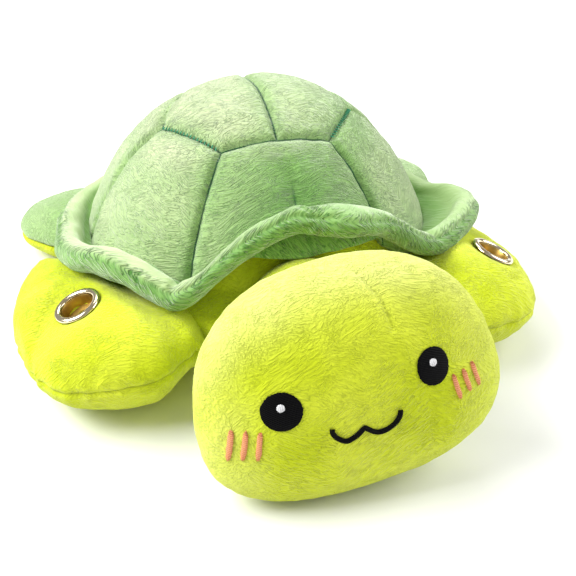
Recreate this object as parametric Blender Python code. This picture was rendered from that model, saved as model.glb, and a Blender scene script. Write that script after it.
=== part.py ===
"""Plush turtle, modelled as it is cut, stuffed and sewn.

Frame: metres, +Z up, the turtle looks along -Y and stands on z = 0. Left is the side at -X.
The origin is on the belly's flat underside, below the middle of the shell.

Every stuffed bag is one closed form. Its cover panels are cut from that form and given the
thickness of plush, and its filling is the same form drawn in by that thickness and a gap.
A limb turns on the rounded root that sits in a hollow of the body it is sewn to.
"""
from dataclasses import dataclass
from math import atan2, cos, degrees, hypot, pi, radians, sin, sqrt

import bmesh
import bpy
from mathutils import Matrix, Vector

# Plush and sewing
PLUSH_THICKNESS = 0.0016
FILL_GAP = 0.0003
SEAM_GAP = 0.0006
ROOT_GAP = 0.0003
FLAT_DEPTH = 0.001
SMALLEST_EDGE = 0.00003
SHARPEST_TURN_SHARE = 0.5
CREASE_ANGLE = 40

# Shell: an ellipsoid's cap over the back
SHELL_HALF_WIDTH = 0.118
SHELL_HALF_LENGTH = 0.113
SHELL_HEIGHT = 0.135
SHELL_CENTRE_Z = 0.0094
SHELL_BASE_GAP = 0.0014
SHELL_SEGMENTS = 32
SHELL_RINGS = 12
TOP_PANEL_HALF_LENGTH = 0.047
TOP_PANEL_HALF_WIDTH = 0.064
TOP_PANEL_EDGE_HALF = 0.035

# Rim: a padded roll round the shell
RIM_HALF_WIDTH = 0.02
RIM_HALF_THICKNESS = 0.009
RIM_OPENING_HALF_ANGLE = 22
RIM_STATIONS = 40
RIM_SECTION_POINTS = 7

# Body: the low bag under the shell
BODY_HALF_WIDTH = 0.1
BODY_HALF_LENGTH = 0.112
BODY_HALF_HEIGHT = 0.044
BODY_CENTRE_Y = -0.012
BODY_SQUARENESS = 2.25
BODY_SEAM_Z = 0.022
BODY_SEGMENTS = 26
BODY_RINGS = 10

# Neck: a round stuffed tube between body and head
NECK_RADIUS = 0.034
NECK_Y = -0.126
NECK_Z = 0.046
NECK_SEGMENTS = 22
NECK_RINGS = 12
NECK_MOUTH_SHARE = 0.8

# Head: a flat pillow, tipped back and rolled to one side
HEAD_HALF_WIDTH = 0.0814
HEAD_HALF_HEIGHT = 0.0619
HEAD_FRONT_DEPTH = 0.03
HEAD_BACK_DEPTH = 0.0418
HEAD_Y = -0.185
HEAD_Z = 0.0605
HEAD_ROUNDNESS = 0.81
HEAD_CROWN = 1.06
HEAD_WIDENING = 0.13
HEAD_PITCH = -25
HEAD_ROLL = -9.1
HEAD_SEGMENTS = 24
HEAD_RINGS = 10

# Face: satin stitch that stands a little proud of the plush
STITCH_HEIGHT = 0.0009
EYE_HALF_WIDTH = 0.0105
EYE_HALF_HEIGHT = 0.0106
EYE_X = 0.0394
EYE_Z = -0.0002
GLINT_RADIUS = 0.0026
GLINT_RISE = 0.0028
MOUTH_HALF_WIDTH = 0.0195
MOUTH_Z = -0.0184
MOUTH_DROP = 0.0066
MOUTH_THREAD_RADIUS = 0.0014
CHEEK_X = 0.0596
CHEEK_Z = -0.0138
CHEEK_MARK_HALF_LENGTH = 0.0088
CHEEK_MARK_HALF_WIDTH = 0.0013
CHEEK_MARK_PITCH = 0.0078
CHEEK_MARK_SLANT = 10
EYE_SEGMENTS = 12
MARK_SEGMENTS = 6
STITCH_RINGS = 4
MOUTH_STEPS = 2

# Front flippers
FLIPPER_X = 0.0858
FLIPPER_Y = -0.083
FLIPPER_Z = 0.0305
FLIPPER_TURN = -22.3
FLIPPER_DROOP = 3
FLIPPER_TWIST = -9
FLIPPER_REACH = 0.077
FLIPPER_ROOT_HALF_WIDTH = 0.047
FLIPPER_ROOT_RADIUS = 0.022
FLIPPER_FRONT_WIDTH = 0.056
FLIPPER_REAR_WIDTH = 0.112
FLIPPER_HALF_THICKNESS = 0.035
FLIPPER_LOBE_DROP_SHARE = 0.35
FLIPPER_LOBE_START = 0.026
FLIPPER_LOBE_SLOPE = 0.026
FLIPPER_SPREAD_SHARE = 0.55
FLIPPER_RISE_SHARE = 0.35
FLIPPER_BLUNTNESS = 2.0
FLIPPER_SEGMENTS = 20
FLIPPER_RINGS = 10

# Eyelet in the top of each front flipper, set a little further out on the right one
EYELET_OUT = {"left": 0.040, "right": 0.047}
EYELET_BACK = 0.010
EYELET_FLANGE_RADIUS = 0.0145
EYELET_BORE_RADIUS = 0.0102
EYELET_WALL = 0.0008
EYELET_FLANGE_RISE = 0.0016
EYELET_SINK = 0.0008
EYELET_DEPTH = 0.0082
WASHER_RADIUS = 0.0132
WASHER_SINK = 0.0058
WASHER_THICKNESS = 0.0008
POCKET_DEPTH = 0.013
CUTTER_RISE = 0.012
EYELET_SEGMENTS = 16

# Rear flippers
HIND_X = 0.0908
HIND_Y = 0.0527
HIND_Z = 0.0195
HIND_TURN = 24.6
HIND_DROOP = 2
HIND_REACH = 0.075
HIND_ROOT_HALF_WIDTH = 0.026
HIND_ROOT_RADIUS = 0.0155
HIND_HALF_WIDTH = 0.032
HIND_HALF_THICKNESS = 0.0185
HIND_SPREAD_SHARE = 0.4
HIND_RISE_SHARE = 0.4
HIND_BLUNTNESS = 2.2
HIND_SEGMENTS = 14
HIND_RINGS = 10

# Tail
TAIL_Y = 0.0995
TAIL_Z = 0.03
TAIL_DROOP = 12
TAIL_REACH = 0.036
TAIL_ROOT_HALF_WIDTH = 0.015
TAIL_ROOT_RADIUS = 0.012
TAIL_SPREAD_SHARE = 1.0
TAIL_RISE_SHARE = 1.0
TAIL_BLUNTNESS = 1.4
TAIL_SEGMENTS = 12
TAIL_RINGS = 8

# From the front (0 degrees) to the back (180 degrees), alike on both sides: heights of the
# shell's lower edge and of the rim as shares of the shell's height, the rim's width as shares of
# its half width, and the angle in degrees by which it droops
EDGE_HEIGHT_SHARES = ((0, 0.515), (30, 0.50), (40, 0.48), (50, 0.445), (60, 0.38), (70, 0.32),
                      (90, 0.27), (180, 0.27))
RIM_HEIGHT_SHARES = ((0, 0.61), (20, 0.565), (36, 0.425), (50, 0.425), (64, 0.41), (75, 0.35),
                     (90, 0.285), (110, 0.265), (130, 0.265), (180, 0.26))
RIM_WIDTH_SHARES = ((0, 1.0), (20, 0.92), (36, 0.86), (52, 0.74), (64, 0.78), (75, 0.88),
                    (90, 0.54), (110, 0.46), (180, 0.5))
RIM_DROOPS = ((0, 28), (20, 24), (36, 14), (52, 8), (64, 0), (75, -12), (90, 0), (110, 18), (180, 25))

# The mouth's outline, as shares of its half width and of its drop
MOUTH_SHARES = ((-1.0, 0.2), (-0.86, -0.5), (-0.62, -1.0), (-0.36, -0.78), (-0.14, -0.22), (0.0, 0.0),
                (0.14, -0.22), (0.36, -0.78), (0.62, -1.0), (0.86, -0.5), (1.0, 0.2))

# Colours (linear), roughness and metallic value
SHELL_PLUSH = ((0.40, 0.60, 0.26, 1), 0.95, 0)
RIM_PLUSH = ((0.33, 0.53, 0.22, 1), 0.95, 0)
LIME_PLUSH = ((0.72, 0.84, 0.05, 1), 0.95, 0)
FILLING = ((0.86, 0.86, 0.84, 1), 1.0, 0)
BLACK_STITCH = ((0.004, 0.004, 0.004, 1), 0.7, 0)
WHITE_STITCH = ((0.80, 0.80, 0.80, 1), 0.6, 0)
BLUSH_STITCH = ((0.75, 0.36, 0.22, 1), 0.7, 0)
EYELET_METAL = ((0.70, 0.62, 0.48, 1), 0.15, 1)
WASHER_METAL = ((0.42, 0.27, 0.07, 1), 0.3, 1)

SIDES = (("left", -1), ("right", 1))


def clear_scene():
    """Take away whatever the scene holds."""
    for obj in list(bpy.data.objects):
        bpy.data.objects.remove(obj, do_unlink=True)


def finish(name, look):
    """One Principled material."""
    colour, roughness, metallic = look
    material = bpy.data.materials.new(name)
    material.use_nodes = True
    shader = material.node_tree.nodes["Principled BSDF"]
    shader.inputs["Base Color"].default_value = colour
    shader.inputs["Roughness"].default_value = roughness
    shader.inputs["Metallic"].default_value = metallic
    material.diffuse_color = colour
    return material


def empty(name, matrix):
    """An empty that carries the pieces of one moving body."""
    holder = bpy.data.objects.new(name, None)
    holder.matrix_world = matrix
    bpy.context.collection.objects.link(holder)
    return holder


def add_object(name, bm, look, parent=None):
    """Turn a bmesh into a smooth shaded object under its parent."""
    bmesh.ops.recalc_face_normals(bm, faces=bm.faces)
    if bm.calc_volume(signed=True) < 0:
        bmesh.ops.reverse_faces(bm, faces=bm.faces)
    mesh = bpy.data.meshes.new(name)
    bm.to_mesh(mesh)
    bm.free()
    obj = bpy.data.objects.new(name, mesh)
    mesh.materials.append(finish(name, look))
    mesh.shade_smooth()
    mesh.set_sharp_from_angle(angle=radians(CREASE_ANGLE))
    bpy.context.collection.objects.link(obj)
    if parent:
        obj.parent = parent
    return obj


def cut_away(obj, cutter):
    """Cut one object's shape out of another."""
    cutter.hide_render = True
    cutter.display_type = "WIRE"
    modifier = obj.modifiers.new("cut by " + cutter.name, "BOOLEAN")
    modifier.operation = "DIFFERENCE"
    modifier.object = cutter


def between(stations, angle):
    """Read a table of (angle, value) pairs smoothly, level at both ends."""
    count = len(stations)
    for index in range(count - 1):
        low, high = stations[index], stations[index + 1]
        if angle <= high[0]:
            break
    before = stations[index - 1] if index else (2 * low[0] - high[0], high[1])
    after = stations[index + 2] if index + 2 < count else (2 * high[0] - low[0], low[1])
    span = high[0] - low[0]
    part = (angle - low[0]) / span
    start_slope = (high[1] - before[1]) / (high[0] - before[0]) * span
    end_slope = (after[1] - low[1]) / (after[0] - low[0]) * span
    square, cube = part ** 2, part ** 3
    return ((2 * cube - 3 * square + 1) * low[1] + (cube - 2 * square + part) * start_slope
            + (3 * square - 2 * cube) * high[1] + (cube - square) * end_slope)


def signed_power(value, power):
    """A power that keeps the sign."""
    return (1 if value >= 0 else -1) * abs(value) ** power


def round_form(segments, rings, place, pole="Z", open_below=False):
    """A form: a unit sphere, or its upper half, whose points are put in place one by one.

    Its faces are triangles, so that cover and filling, moved apart, keep the same creases.
    """
    bm = bmesh.new()
    bmesh.ops.create_uvsphere(bm, u_segments=segments, v_segments=rings, radius=1)
    if open_below:
        below = [vert for vert in bm.verts if vert.co.z < -sin(pi / rings) / 2]
        bmesh.ops.delete(bm, geom=below, context="VERTS")
    if pole == "X":
        bmesh.ops.rotate(bm, verts=bm.verts, matrix=Matrix.Rotation(pi / 2, 3, "Y"))
    if pole == "Y":
        bmesh.ops.rotate(bm, verts=bm.verts, matrix=Matrix.Rotation(pi / 2, 3, "X"))
    for vert in bm.verts:
        vert.co = place(vert.co.normalized())
    bmesh.ops.triangulate(bm, faces=bm.faces)
    return remember_normals(bm)


def remember_normals(bm):
    """Keep every point's outward step, which cuts made later share out along new edges.

    It is as long as it takes to move every face round the point by one unit.
    """
    bmesh.ops.recalc_face_normals(bm, faces=bm.faces)
    bm.normal_update()
    layer = bm.verts.layers.float_vector.get("outward") or bm.verts.layers.float_vector.new("outward")
    for vert in bm.verts:
        least = min(vert.normal.dot(face.normal) for face in vert.link_faces)
        vert[layer] = vert.normal / max(least, SHARPEST_TURN_SHARE)
    return bm


def draw_in(bm, depth):
    """Move a form's surface inwards, or outwards where depth is negative."""
    layer = bm.verts.layers.float_vector["outward"]
    for vert in bm.verts:
        vert.co -= vert[layer] * depth
    return bm


def keep_side(bm, point, normal, gap=SEAM_GAP / 2):
    """Keep what lies on the normal's side of a plane, a gap away from it."""
    edge = Vector(point) + Vector(normal).normalized() * gap
    geometry = bm.verts[:] + bm.edges[:] + bm.faces[:]
    bmesh.ops.bisect_plane(bm, geom=geometry, plane_co=edge, plane_no=normal, clear_inner=True)
    bmesh.ops.dissolve_degenerate(bm, dist=SMALLEST_EDGE, edges=bm.edges)
    return bm


def stand_flat(bm, matrix):
    """Cut a closed form flat where it meets the floor, and close the cut.

    Points on the cut's edge remember a direction that keeps the flat level when it is moved.
    """
    lift = matrix.inverted()
    keep_side(bm, lift @ Vector((0, 0, 0)), lift.to_3x3() @ Vector((0, 0, 1)), 0)
    border = [edge for edge in bm.edges if edge.is_boundary]
    rim = {vert for edge in border for vert in edge.verts}
    remember_normals(bm)
    if border:
        down = lift.to_3x3() @ Vector((0, 0, -1))
        layer = bm.verts.layers.float_vector["outward"]
        for vert in rim:
            side = vert[layer].normalized()
            vert[layer] = (side + down) / (1 + side.dot(down))
        bmesh.ops.edgeloop_fill(bm, edges=border)
    return bm


def thicken(bm):
    """Give an open panel the thickness of plush, on its inner side."""
    layer = bm.verts.layers.float_vector["outward"]
    faces = bm.faces[:]
    border = [edge.link_loops[0] for edge in bm.edges if edge.is_boundary]
    border = [(loop.vert, loop.link_loop_next.vert) for loop in border]
    inner = {vert: vert.co - vert[layer] * PLUSH_THICKNESS for vert in bm.verts}
    inner = {vert: bm.verts.new(place) for vert, place in inner.items()}
    for face in faces:
        bm.faces.new([inner[vert] for vert in reversed(face.verts)])
    for first, second in border:
        bm.faces.new((second, first, inner[first], inner[second]))
    return bm


def filling_of(bm):
    """The filling inside a form whose cover has the thickness of plush."""
    return draw_in(bm, PLUSH_THICKNESS + FILL_GAP)


def heading(direction):
    """Angle from straight ahead, 0 to 180 degrees, alike on both sides."""
    return abs(degrees(atan2(direction[0], -direction[1])))


def shell_radius(height, direction):
    """Distance from the shell's axis to its surface at a height, in one direction."""
    level = sqrt(max(0, 1 - ((height - SHELL_CENTRE_Z) / SHELL_HEIGHT) ** 2))
    return level / hypot(direction[0] / SHELL_HALF_WIDTH, direction[1] / SHELL_HALF_LENGTH)


def body_middle():
    """Height of the body's middle, which leaves its underside cut flat on the floor."""
    return BODY_HALF_HEIGHT - FLAT_DEPTH


def body_top(x, y):
    """Height of the body's upper surface, or its middle height beyond its edge."""
    flat = abs(x / BODY_HALF_WIDTH) ** BODY_SQUARENESS
    flat += abs((y - BODY_CENTRE_Y) / BODY_HALF_LENGTH) ** BODY_SQUARENESS
    return body_middle() + BODY_HALF_HEIGHT * max(0, 1 - flat) ** (1 / BODY_SQUARENESS)


def shell_point(unit):
    """Upper half: the dome. Lower half: the base, which lies on the body's back."""
    flat = hypot(unit.x, unit.y)
    direction = (unit.x / flat, unit.y / flat) if flat > 0 else (0, -1)
    edge_z = SHELL_CENTRE_Z + SHELL_HEIGHT * between(EDGE_HEIGHT_SHARES, heading(direction))
    edge_slope = (edge_z - SHELL_CENTRE_Z) / SHELL_HEIGHT
    share = atan2(flat, abs(unit.z)) / (pi / 2)
    rise = sin(pi / 2 * share)
    if unit.z >= 0:
        level = 1 - (1 - edge_slope) * (1 - cos(pi / 2 * share))
        height = SHELL_CENTRE_Z + SHELL_HEIGHT * level
        radius = shell_radius(height, direction)
    else:
        radius = shell_radius(edge_z, direction) * rise
        x, y = direction[0] * radius, direction[1] * radius
        height = max(edge_z, body_top(x, y) + SHELL_BASE_GAP)
    return Vector((direction[0] * radius, direction[1] * radius, height))


def shell_form(open_below=False):
    """The shell as one closed form, or its open dome alone."""
    return round_form(SHELL_SEGMENTS, SHELL_RINGS, shell_point, open_below=open_below)


def seam_corners():
    """The six corners of the shell's top panel, clockwise from the left side."""
    flat = ((-TOP_PANEL_HALF_WIDTH, 0), (-TOP_PANEL_EDGE_HALF, TOP_PANEL_HALF_LENGTH),
            (TOP_PANEL_EDGE_HALF, TOP_PANEL_HALF_LENGTH), (TOP_PANEL_HALF_WIDTH, 0),
            (TOP_PANEL_EDGE_HALF, -TOP_PANEL_HALF_LENGTH), (-TOP_PANEL_EDGE_HALF, -TOP_PANEL_HALF_LENGTH))
    corners = []
    for x, y in flat:
        level = sqrt(1 - (x / SHELL_HALF_WIDTH) ** 2 - (y / SHELL_HALF_LENGTH) ** 2)
        corners.append(Vector((x, y, SHELL_CENTRE_Z + SHELL_HEIGHT * level)))
    return corners


def build_shell():
    """Eight panels over one filling."""
    corners = seam_corners()
    centre = Vector((0, 0, SHELL_CENTRE_Z))
    following = corners[1:] + corners[:1]
    outwards = [(here - centre).cross(there - centre) for here, there in zip(corners, following)]
    for side, sign in SIDES:
        bm = shell_form(open_below=True)
        for normal in outwards:
            keep_side(bm, centre, -normal)
        keep_side(bm, centre, (sign, 0, 0))
        add_object("shell_top_" + side, thicken(bm), SHELL_PLUSH)
    names = ("shell_back_left", "shell_back", "shell_back_right", "shell_front_right", "shell_front",
             "shell_front_left")
    for name, here, there, outward in zip(names, corners, following, outwards):
        bm = shell_form(open_below=True)
        keep_side(bm, centre, outward)
        keep_side(bm, centre, side_seam(here, 1))
        keep_side(bm, centre, side_seam(there, -1))
        add_object(name, thicken(bm), SHELL_PLUSH)
    add_object("shell_stuffing", filling_of(shell_form()), FILLING)


def side_seam(corner, sign):
    """Normal of the upright seam plane that runs down the shell from a corner."""
    return Vector((corner.y, -corner.x, 0)) * sign


def rim_section(angle):
    """Middle, half width, half thickness and droop of the rim at an angle from straight ahead."""
    side = abs(angle)
    direction = Vector((sin(radians(angle)), -cos(radians(angle)), 0))
    height = SHELL_CENTRE_Z + SHELL_HEIGHT * between(RIM_HEIGHT_SHARES, side)
    half_width = RIM_HALF_WIDTH * between(RIM_WIDTH_SHARES, side)
    droop = radians(between(RIM_DROOPS, side))
    foot = shell_radius(height, direction)
    reach = 1 / hypot(direction.x / SHELL_HALF_WIDTH, direction.y / SHELL_HALF_LENGTH)
    slope = Vector((foot / reach ** 2, (height - SHELL_CENTRE_Z) / SHELL_HEIGHT ** 2)).normalized()
    along = Vector((cos(droop), -sin(droop)))
    across = Vector((sin(droop), cos(droop)))
    support = hypot(half_width * along.dot(slope), RIM_HALF_THICKNESS * across.dot(slope))
    middle = Vector((foot, height)) + slope * (support + FILL_GAP)
    return direction, middle, along, across, half_width


def rim_ring(bm, angle):
    """One section of the rim, from the top of its opening round to the bottom."""
    direction, middle, along, across, half_width = rim_section(angle)
    opening = radians(RIM_OPENING_HALF_ANGLE)
    ring = []
    for index in range(RIM_SECTION_POINTS):
        turn = pi - opening - (2 * pi - 2 * opening) * index / (RIM_SECTION_POINTS - 1)
        flat = middle + along * half_width * cos(turn) + across * RIM_HALF_THICKNESS * sin(turn)
        ring.append(bm.verts.new(direction * flat.x + Vector((0, 0, flat.y))))
    return ring


def swept_rim(is_open):
    """The rim's surface as rings joined one to the next round the shell."""
    bm = bmesh.new()
    rings = []
    for index in range(RIM_STATIONS):
        rings.append(rim_ring(bm, 360 * index / RIM_STATIONS - 180))
    for index, ring in enumerate(rings):
        following = rings[(index + 1) % RIM_STATIONS]
        for point in range(RIM_SECTION_POINTS - 1 if is_open else RIM_SECTION_POINTS):
            after = (point + 1) % RIM_SECTION_POINTS
            bm.faces.new((ring[point], following[point], following[after], ring[after]))
    bmesh.ops.triangulate(bm, faces=bm.faces)
    return remember_normals(bm)


def build_rim():
    """A plush cover, open on its inner side, round a roll of wadding."""
    add_object("shell_rim", thicken(swept_rim(True)), RIM_PLUSH)
    add_object("shell_rim_wadding", filling_of(swept_rim(False)), FILLING)


def body_point(unit):
    """A squared ellipsoid with a flat underside on the floor."""
    power = 2 / BODY_SQUARENESS
    flat = hypot(unit.x, unit.y)
    level = signed_power(unit.z, power)
    spread = flat ** power
    direction = (unit.x / flat, unit.y / flat) if flat > 0 else (0, 0)
    return Vector((BODY_HALF_WIDTH * spread * signed_power(direction[0], power),
                   BODY_CENTRE_Y + BODY_HALF_LENGTH * spread * signed_power(direction[1], power),
                   body_middle() + BODY_HALF_HEIGHT * level))


def body_form():
    """The body as one closed form."""
    return stand_flat(round_form(BODY_SEGMENTS, BODY_RINGS, body_point), Matrix())


def build_body(sockets):
    """Back and belly covers over one filling, hollowed for the limbs' roots."""
    seam = (0, 0, BODY_SEAM_Z)
    cover = add_object("body_cover", thicken(keep_side(body_form(), seam, (0, 0, 1))), LIME_PLUSH)
    belly = add_object("belly_panel", thicken(keep_side(body_form(), seam, (0, 0, -1))), LIME_PLUSH)
    stuffing = add_object("body_stuffing", filling_of(body_form()), FILLING)
    for socket in sockets:
        for piece in (cover, belly, stuffing):
            if touches(piece, socket):
                cut_away(piece, socket)


def touches(piece, socket):
    """True where a socket's lowest and highest points span part of a piece."""
    def span(obj):
        matrix = obj.matrix_basis if obj.parent is None else obj.parent.matrix_world @ obj.matrix_basis
        heights = [(matrix @ vert.co).z for vert in obj.data.vertices]
        return min(heights), max(heights)
    low, high = span(piece)
    socket_low, socket_high = span(socket)
    return socket_low < high and socket_high > low


def limb_frame(x, y, z, turn, droop, twist):
    """Where a limb is rooted: local X points out along it, local Y is the line it bends on."""
    matrix = Matrix.Translation((x, y, z)) @ Matrix.Rotation(radians(turn), 4, "Z")
    return matrix @ Matrix.Rotation(radians(droop), 4, "Y") @ Matrix.Rotation(radians(twist), 4, "X")


@dataclass(frozen=True)
class Limb:
    """Sizes of one kind of limb. Its rear side may be wider, a lobe that lies lower."""
    reach: float
    root_width: float
    root_radius: float
    front_width: float
    rear_width: float
    thickness: float
    spread_share: float
    rise_share: float
    bluntness: float
    segments: int
    rings: int
    lobe_drop_share: float = 0
    lobe_start: float = 0
    lobe_slope: float = 1


FRONT_LIMB = Limb(FLIPPER_REACH, FLIPPER_ROOT_HALF_WIDTH, FLIPPER_ROOT_RADIUS, FLIPPER_FRONT_WIDTH,
                  FLIPPER_REAR_WIDTH, FLIPPER_HALF_THICKNESS, FLIPPER_SPREAD_SHARE, FLIPPER_RISE_SHARE,
                  FLIPPER_BLUNTNESS, FLIPPER_SEGMENTS, FLIPPER_RINGS, FLIPPER_LOBE_DROP_SHARE,
                  FLIPPER_LOBE_START, FLIPPER_LOBE_SLOPE)
HIND_LIMB = Limb(HIND_REACH, HIND_ROOT_HALF_WIDTH, HIND_ROOT_RADIUS, HIND_HALF_WIDTH, HIND_HALF_WIDTH,
                 HIND_HALF_THICKNESS, HIND_SPREAD_SHARE, HIND_RISE_SHARE, HIND_BLUNTNESS, HIND_SEGMENTS,
                 HIND_RINGS)
TAIL_LIMB = Limb(TAIL_REACH, TAIL_ROOT_HALF_WIDTH, TAIL_ROOT_RADIUS, TAIL_ROOT_HALF_WIDTH,
                 TAIL_ROOT_HALF_WIDTH, TAIL_ROOT_RADIUS, TAIL_SPREAD_SHARE, TAIL_RISE_SHARE, TAIL_BLUNTNESS,
                 TAIL_SEGMENTS, TAIL_RINGS)


def smooth_step(value):
    """Rise smoothly from 0 to 1."""
    value = max(0, min(1, value))
    return value * value * (3 - 2 * value)


def limb_point(unit, limb, rear):
    """A limb: a round root behind the bending line, and a paddle that swells and tapers past it.

    The paddle's rear lies on the side that rear gives: 1 for local +Y, -1 for local -Y.
    """
    if unit.x <= 0:
        return Vector((limb.root_radius * unit.x, limb.root_width * unit.y, limb.root_radius * unit.z))
    side = Vector((unit.y, unit.z)).normalized() if abs(unit.x) < 1 else Vector((0, 0))
    spread = smooth_step(unit.x / limb.spread_share)
    rise = smooth_step(unit.x / limb.rise_share)
    full_width = limb.rear_width if side.x * rear > 0 else limb.front_width
    width = limb.root_width + (full_width - limb.root_width) * spread
    thickness = limb.root_radius + (limb.thickness - limb.root_radius) * rise
    close = (1 - unit.x ** limb.bluntness) ** (1 / limb.bluntness)
    across = width * close * side.x
    drop = limb.lobe_drop_share * rise * smooth_step((across * rear - limb.lobe_start) / limb.lobe_slope)
    return Vector((limb.reach * unit.x, across, thickness * close * side.y * (1 - drop)))


def limb_form(limb, matrix, rear):
    """The limb's closed form in its own frame, flat where it meets the floor."""
    form = round_form(limb.segments, limb.rings, lambda unit: limb_point(unit, limb, rear), "X")
    return stand_flat(form, matrix)


def around(size, segments, rings):
    """The size of a faceted form whose flat faces lie no nearer than the given size."""
    return size / (cos(pi / segments) * cos(pi / rings / 2))


def root_socket(name, limb, matrix):
    """A cutter: the limb's round root, larger by the gap it turns in."""
    size = Vector((limb.root_radius + ROOT_GAP, limb.root_width + ROOT_GAP, limb.root_radius + ROOT_GAP))
    size = around(size, limb.segments, limb.rings)
    cutter = add_object(name, round_form(limb.segments, limb.rings, lambda unit: unit * size, "X"), FILLING)
    cutter.matrix_world = matrix
    return cutter


def mirrored_frame(sign, x, y, z, turn, droop, twist):
    """The right limb's frame, or its mirror image on the left, which also points outwards."""
    if sign > 0:
        return limb_frame(x, y, z, turn, droop, twist)
    return limb_frame(-x, y, z, 180 - turn, droop, -twist)


def limb_top(out, back, limb, rear):
    """The point of the limb's top surface at a distance out from the root and back from the middle."""
    share = out / limb.reach
    close = sqrt(1 - share ** 2)
    width = limb.rear_width if back > 0 else limb.front_width
    sideways = back / width / close
    return limb_point(Vector((share, close * sideways * rear, close * sqrt(1 - sideways ** 2))), limb, rear)


def eyelet_seat(limb, rear, out):
    """The eyelet's place on the limb's top, in the limb's frame, with local Z square to the plush."""
    radius = EYELET_BORE_RADIUS
    along = limb_top(out + radius, EYELET_BACK, limb, rear) - limb_top(out - radius, EYELET_BACK, limb, rear)
    across = limb_top(out, EYELET_BACK + radius, limb, rear) - limb_top(out, EYELET_BACK - radius, limb, rear)
    normal = along.cross(across) * rear
    here = limb_top(out, EYELET_BACK, limb, rear)
    return Matrix.Translation(here) @ normal.to_track_quat("Z", "Y").to_matrix().to_4x4()


def turned(outline):
    """A ring spun from a closed outline of (radius, height) pairs about local Z."""
    bm = bmesh.new()
    verts = [bm.verts.new((radius, 0, height)) for radius, height in outline]
    edges = [bm.edges.new((verts[i], verts[(i + 1) % len(verts)])) for i in range(len(verts))]
    bmesh.ops.spin(bm, geom=verts + edges, cent=(0, 0, 0), axis=(0, 0, 1), angle=2 * pi,
                   steps=EYELET_SEGMENTS, use_merge=True)
    return bm


def drum(radius, low, high):
    """A plain round cutter about local Z."""
    bm = bmesh.new()
    bmesh.ops.create_cone(bm, cap_ends=True, segments=EYELET_SEGMENTS, radius1=radius, radius2=radius,
                          depth=high - low)
    bmesh.ops.translate(bm, verts=bm.verts, vec=(0, 0, (high + low) / 2))
    return bm


def build_eyelet(side, rear, parent, top, stuffing):
    """A rolled flange with a barrel through the top cover, and the washer that holds it from inside."""
    seat = eyelet_seat(FRONT_LIMB, rear, EYELET_OUT[side])
    bore, wall, flange = EYELET_BORE_RADIUS, EYELET_WALL, EYELET_FLANGE_RADIUS
    under = -EYELET_SINK
    crest = under + EYELET_FLANGE_RISE
    outline = ((bore, -EYELET_DEPTH), (bore, crest - wall), (bore + wall, crest), (flange - wall, crest),
               (flange, crest - wall), (flange, under), (bore + wall, under), (bore + wall, -EYELET_DEPTH))
    eyelet = add_object("eyelet_" + side, turned(outline), EYELET_METAL, parent)
    inner = bore + wall + FILL_GAP
    washer_low = -WASHER_SINK - WASHER_THICKNESS
    outline = ((inner, washer_low), (inner, -WASHER_SINK), (WASHER_RADIUS, -WASHER_SINK),
               (WASHER_RADIUS, washer_low))
    washer = add_object("eyelet_washer_" + side, turned(outline), WASHER_METAL, parent)
    hole = add_object("eyelet_hole_" + side, drum(inner, -CUTTER_RISE, CUTTER_RISE), FILLING, parent)
    flange_seat = drum(flange + FILL_GAP, under - FILL_GAP, CUTTER_RISE)
    flange_seat = add_object("eyelet_flange_seat_" + side, flange_seat, FILLING, parent)
    pocket = drum(WASHER_RADIUS + FILL_GAP, -POCKET_DEPTH, CUTTER_RISE)
    pocket = add_object("eyelet_pocket_" + side, pocket, FILLING, parent)
    for piece in (eyelet, washer, hole, flange_seat, pocket):
        piece.matrix_local = seat
    cut_away(top, hole)
    cut_away(top, flange_seat)
    cut_away(stuffing, pocket)


def build_limb(name, limb, matrix, rear, top_look):
    """Top and bottom covers over one filling, all in the limb's own frame."""
    holder = empty(name + "_root", matrix)
    middle = (0, 0, 0)
    top = thicken(keep_side(limb_form(limb, matrix, rear), middle, (0, 0, 1)))
    bottom = thicken(keep_side(limb_form(limb, matrix, rear), middle, (0, 0, -1)))
    top = add_object(name + "_top", top, top_look, holder)
    add_object(name + "_bottom", bottom, LIME_PLUSH, holder)
    stuffing = add_object(name + "_stuffing", filling_of(limb_form(limb, matrix, rear)), FILLING, holder)
    return holder, top, stuffing


def build_limbs():
    """Front flippers with eyelets, rear flippers and tail. Returns the sockets that they turn in."""
    sockets = []
    for side, sign in SIDES:
        matrix = mirrored_frame(sign, FLIPPER_X, FLIPPER_Y, FLIPPER_Z, FLIPPER_TURN, FLIPPER_DROOP,
                                FLIPPER_TWIST)
        holder, top, stuffing = build_limb("front_flipper_" + side, FRONT_LIMB, matrix, sign, LIME_PLUSH)
        build_eyelet(side, sign, holder, top, stuffing)
        sockets.append(root_socket("front_socket_" + side, FRONT_LIMB, matrix))
        matrix = mirrored_frame(sign, HIND_X, HIND_Y, HIND_Z, HIND_TURN, HIND_DROOP, 0)
        build_limb("rear_flipper_" + side, HIND_LIMB, matrix, sign, SHELL_PLUSH)
        sockets.append(root_socket("rear_socket_" + side, HIND_LIMB, matrix))
    matrix = limb_frame(0, TAIL_Y, TAIL_Z, 90, TAIL_DROOP, 0)
    build_limb("tail", TAIL_LIMB, matrix, 1, LIME_PLUSH)
    sockets.append(root_socket("tail_socket", TAIL_LIMB, matrix))
    return sockets


def ball(radius, segments, rings):
    """A sphere about the neck's middle."""
    return round_form(segments, rings, lambda unit: unit * radius, "Y")


def neck_frame():
    """The neck's middle, about which the head nods and tilts."""
    return Matrix.Translation((0, NECK_Y, NECK_Z))


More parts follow.
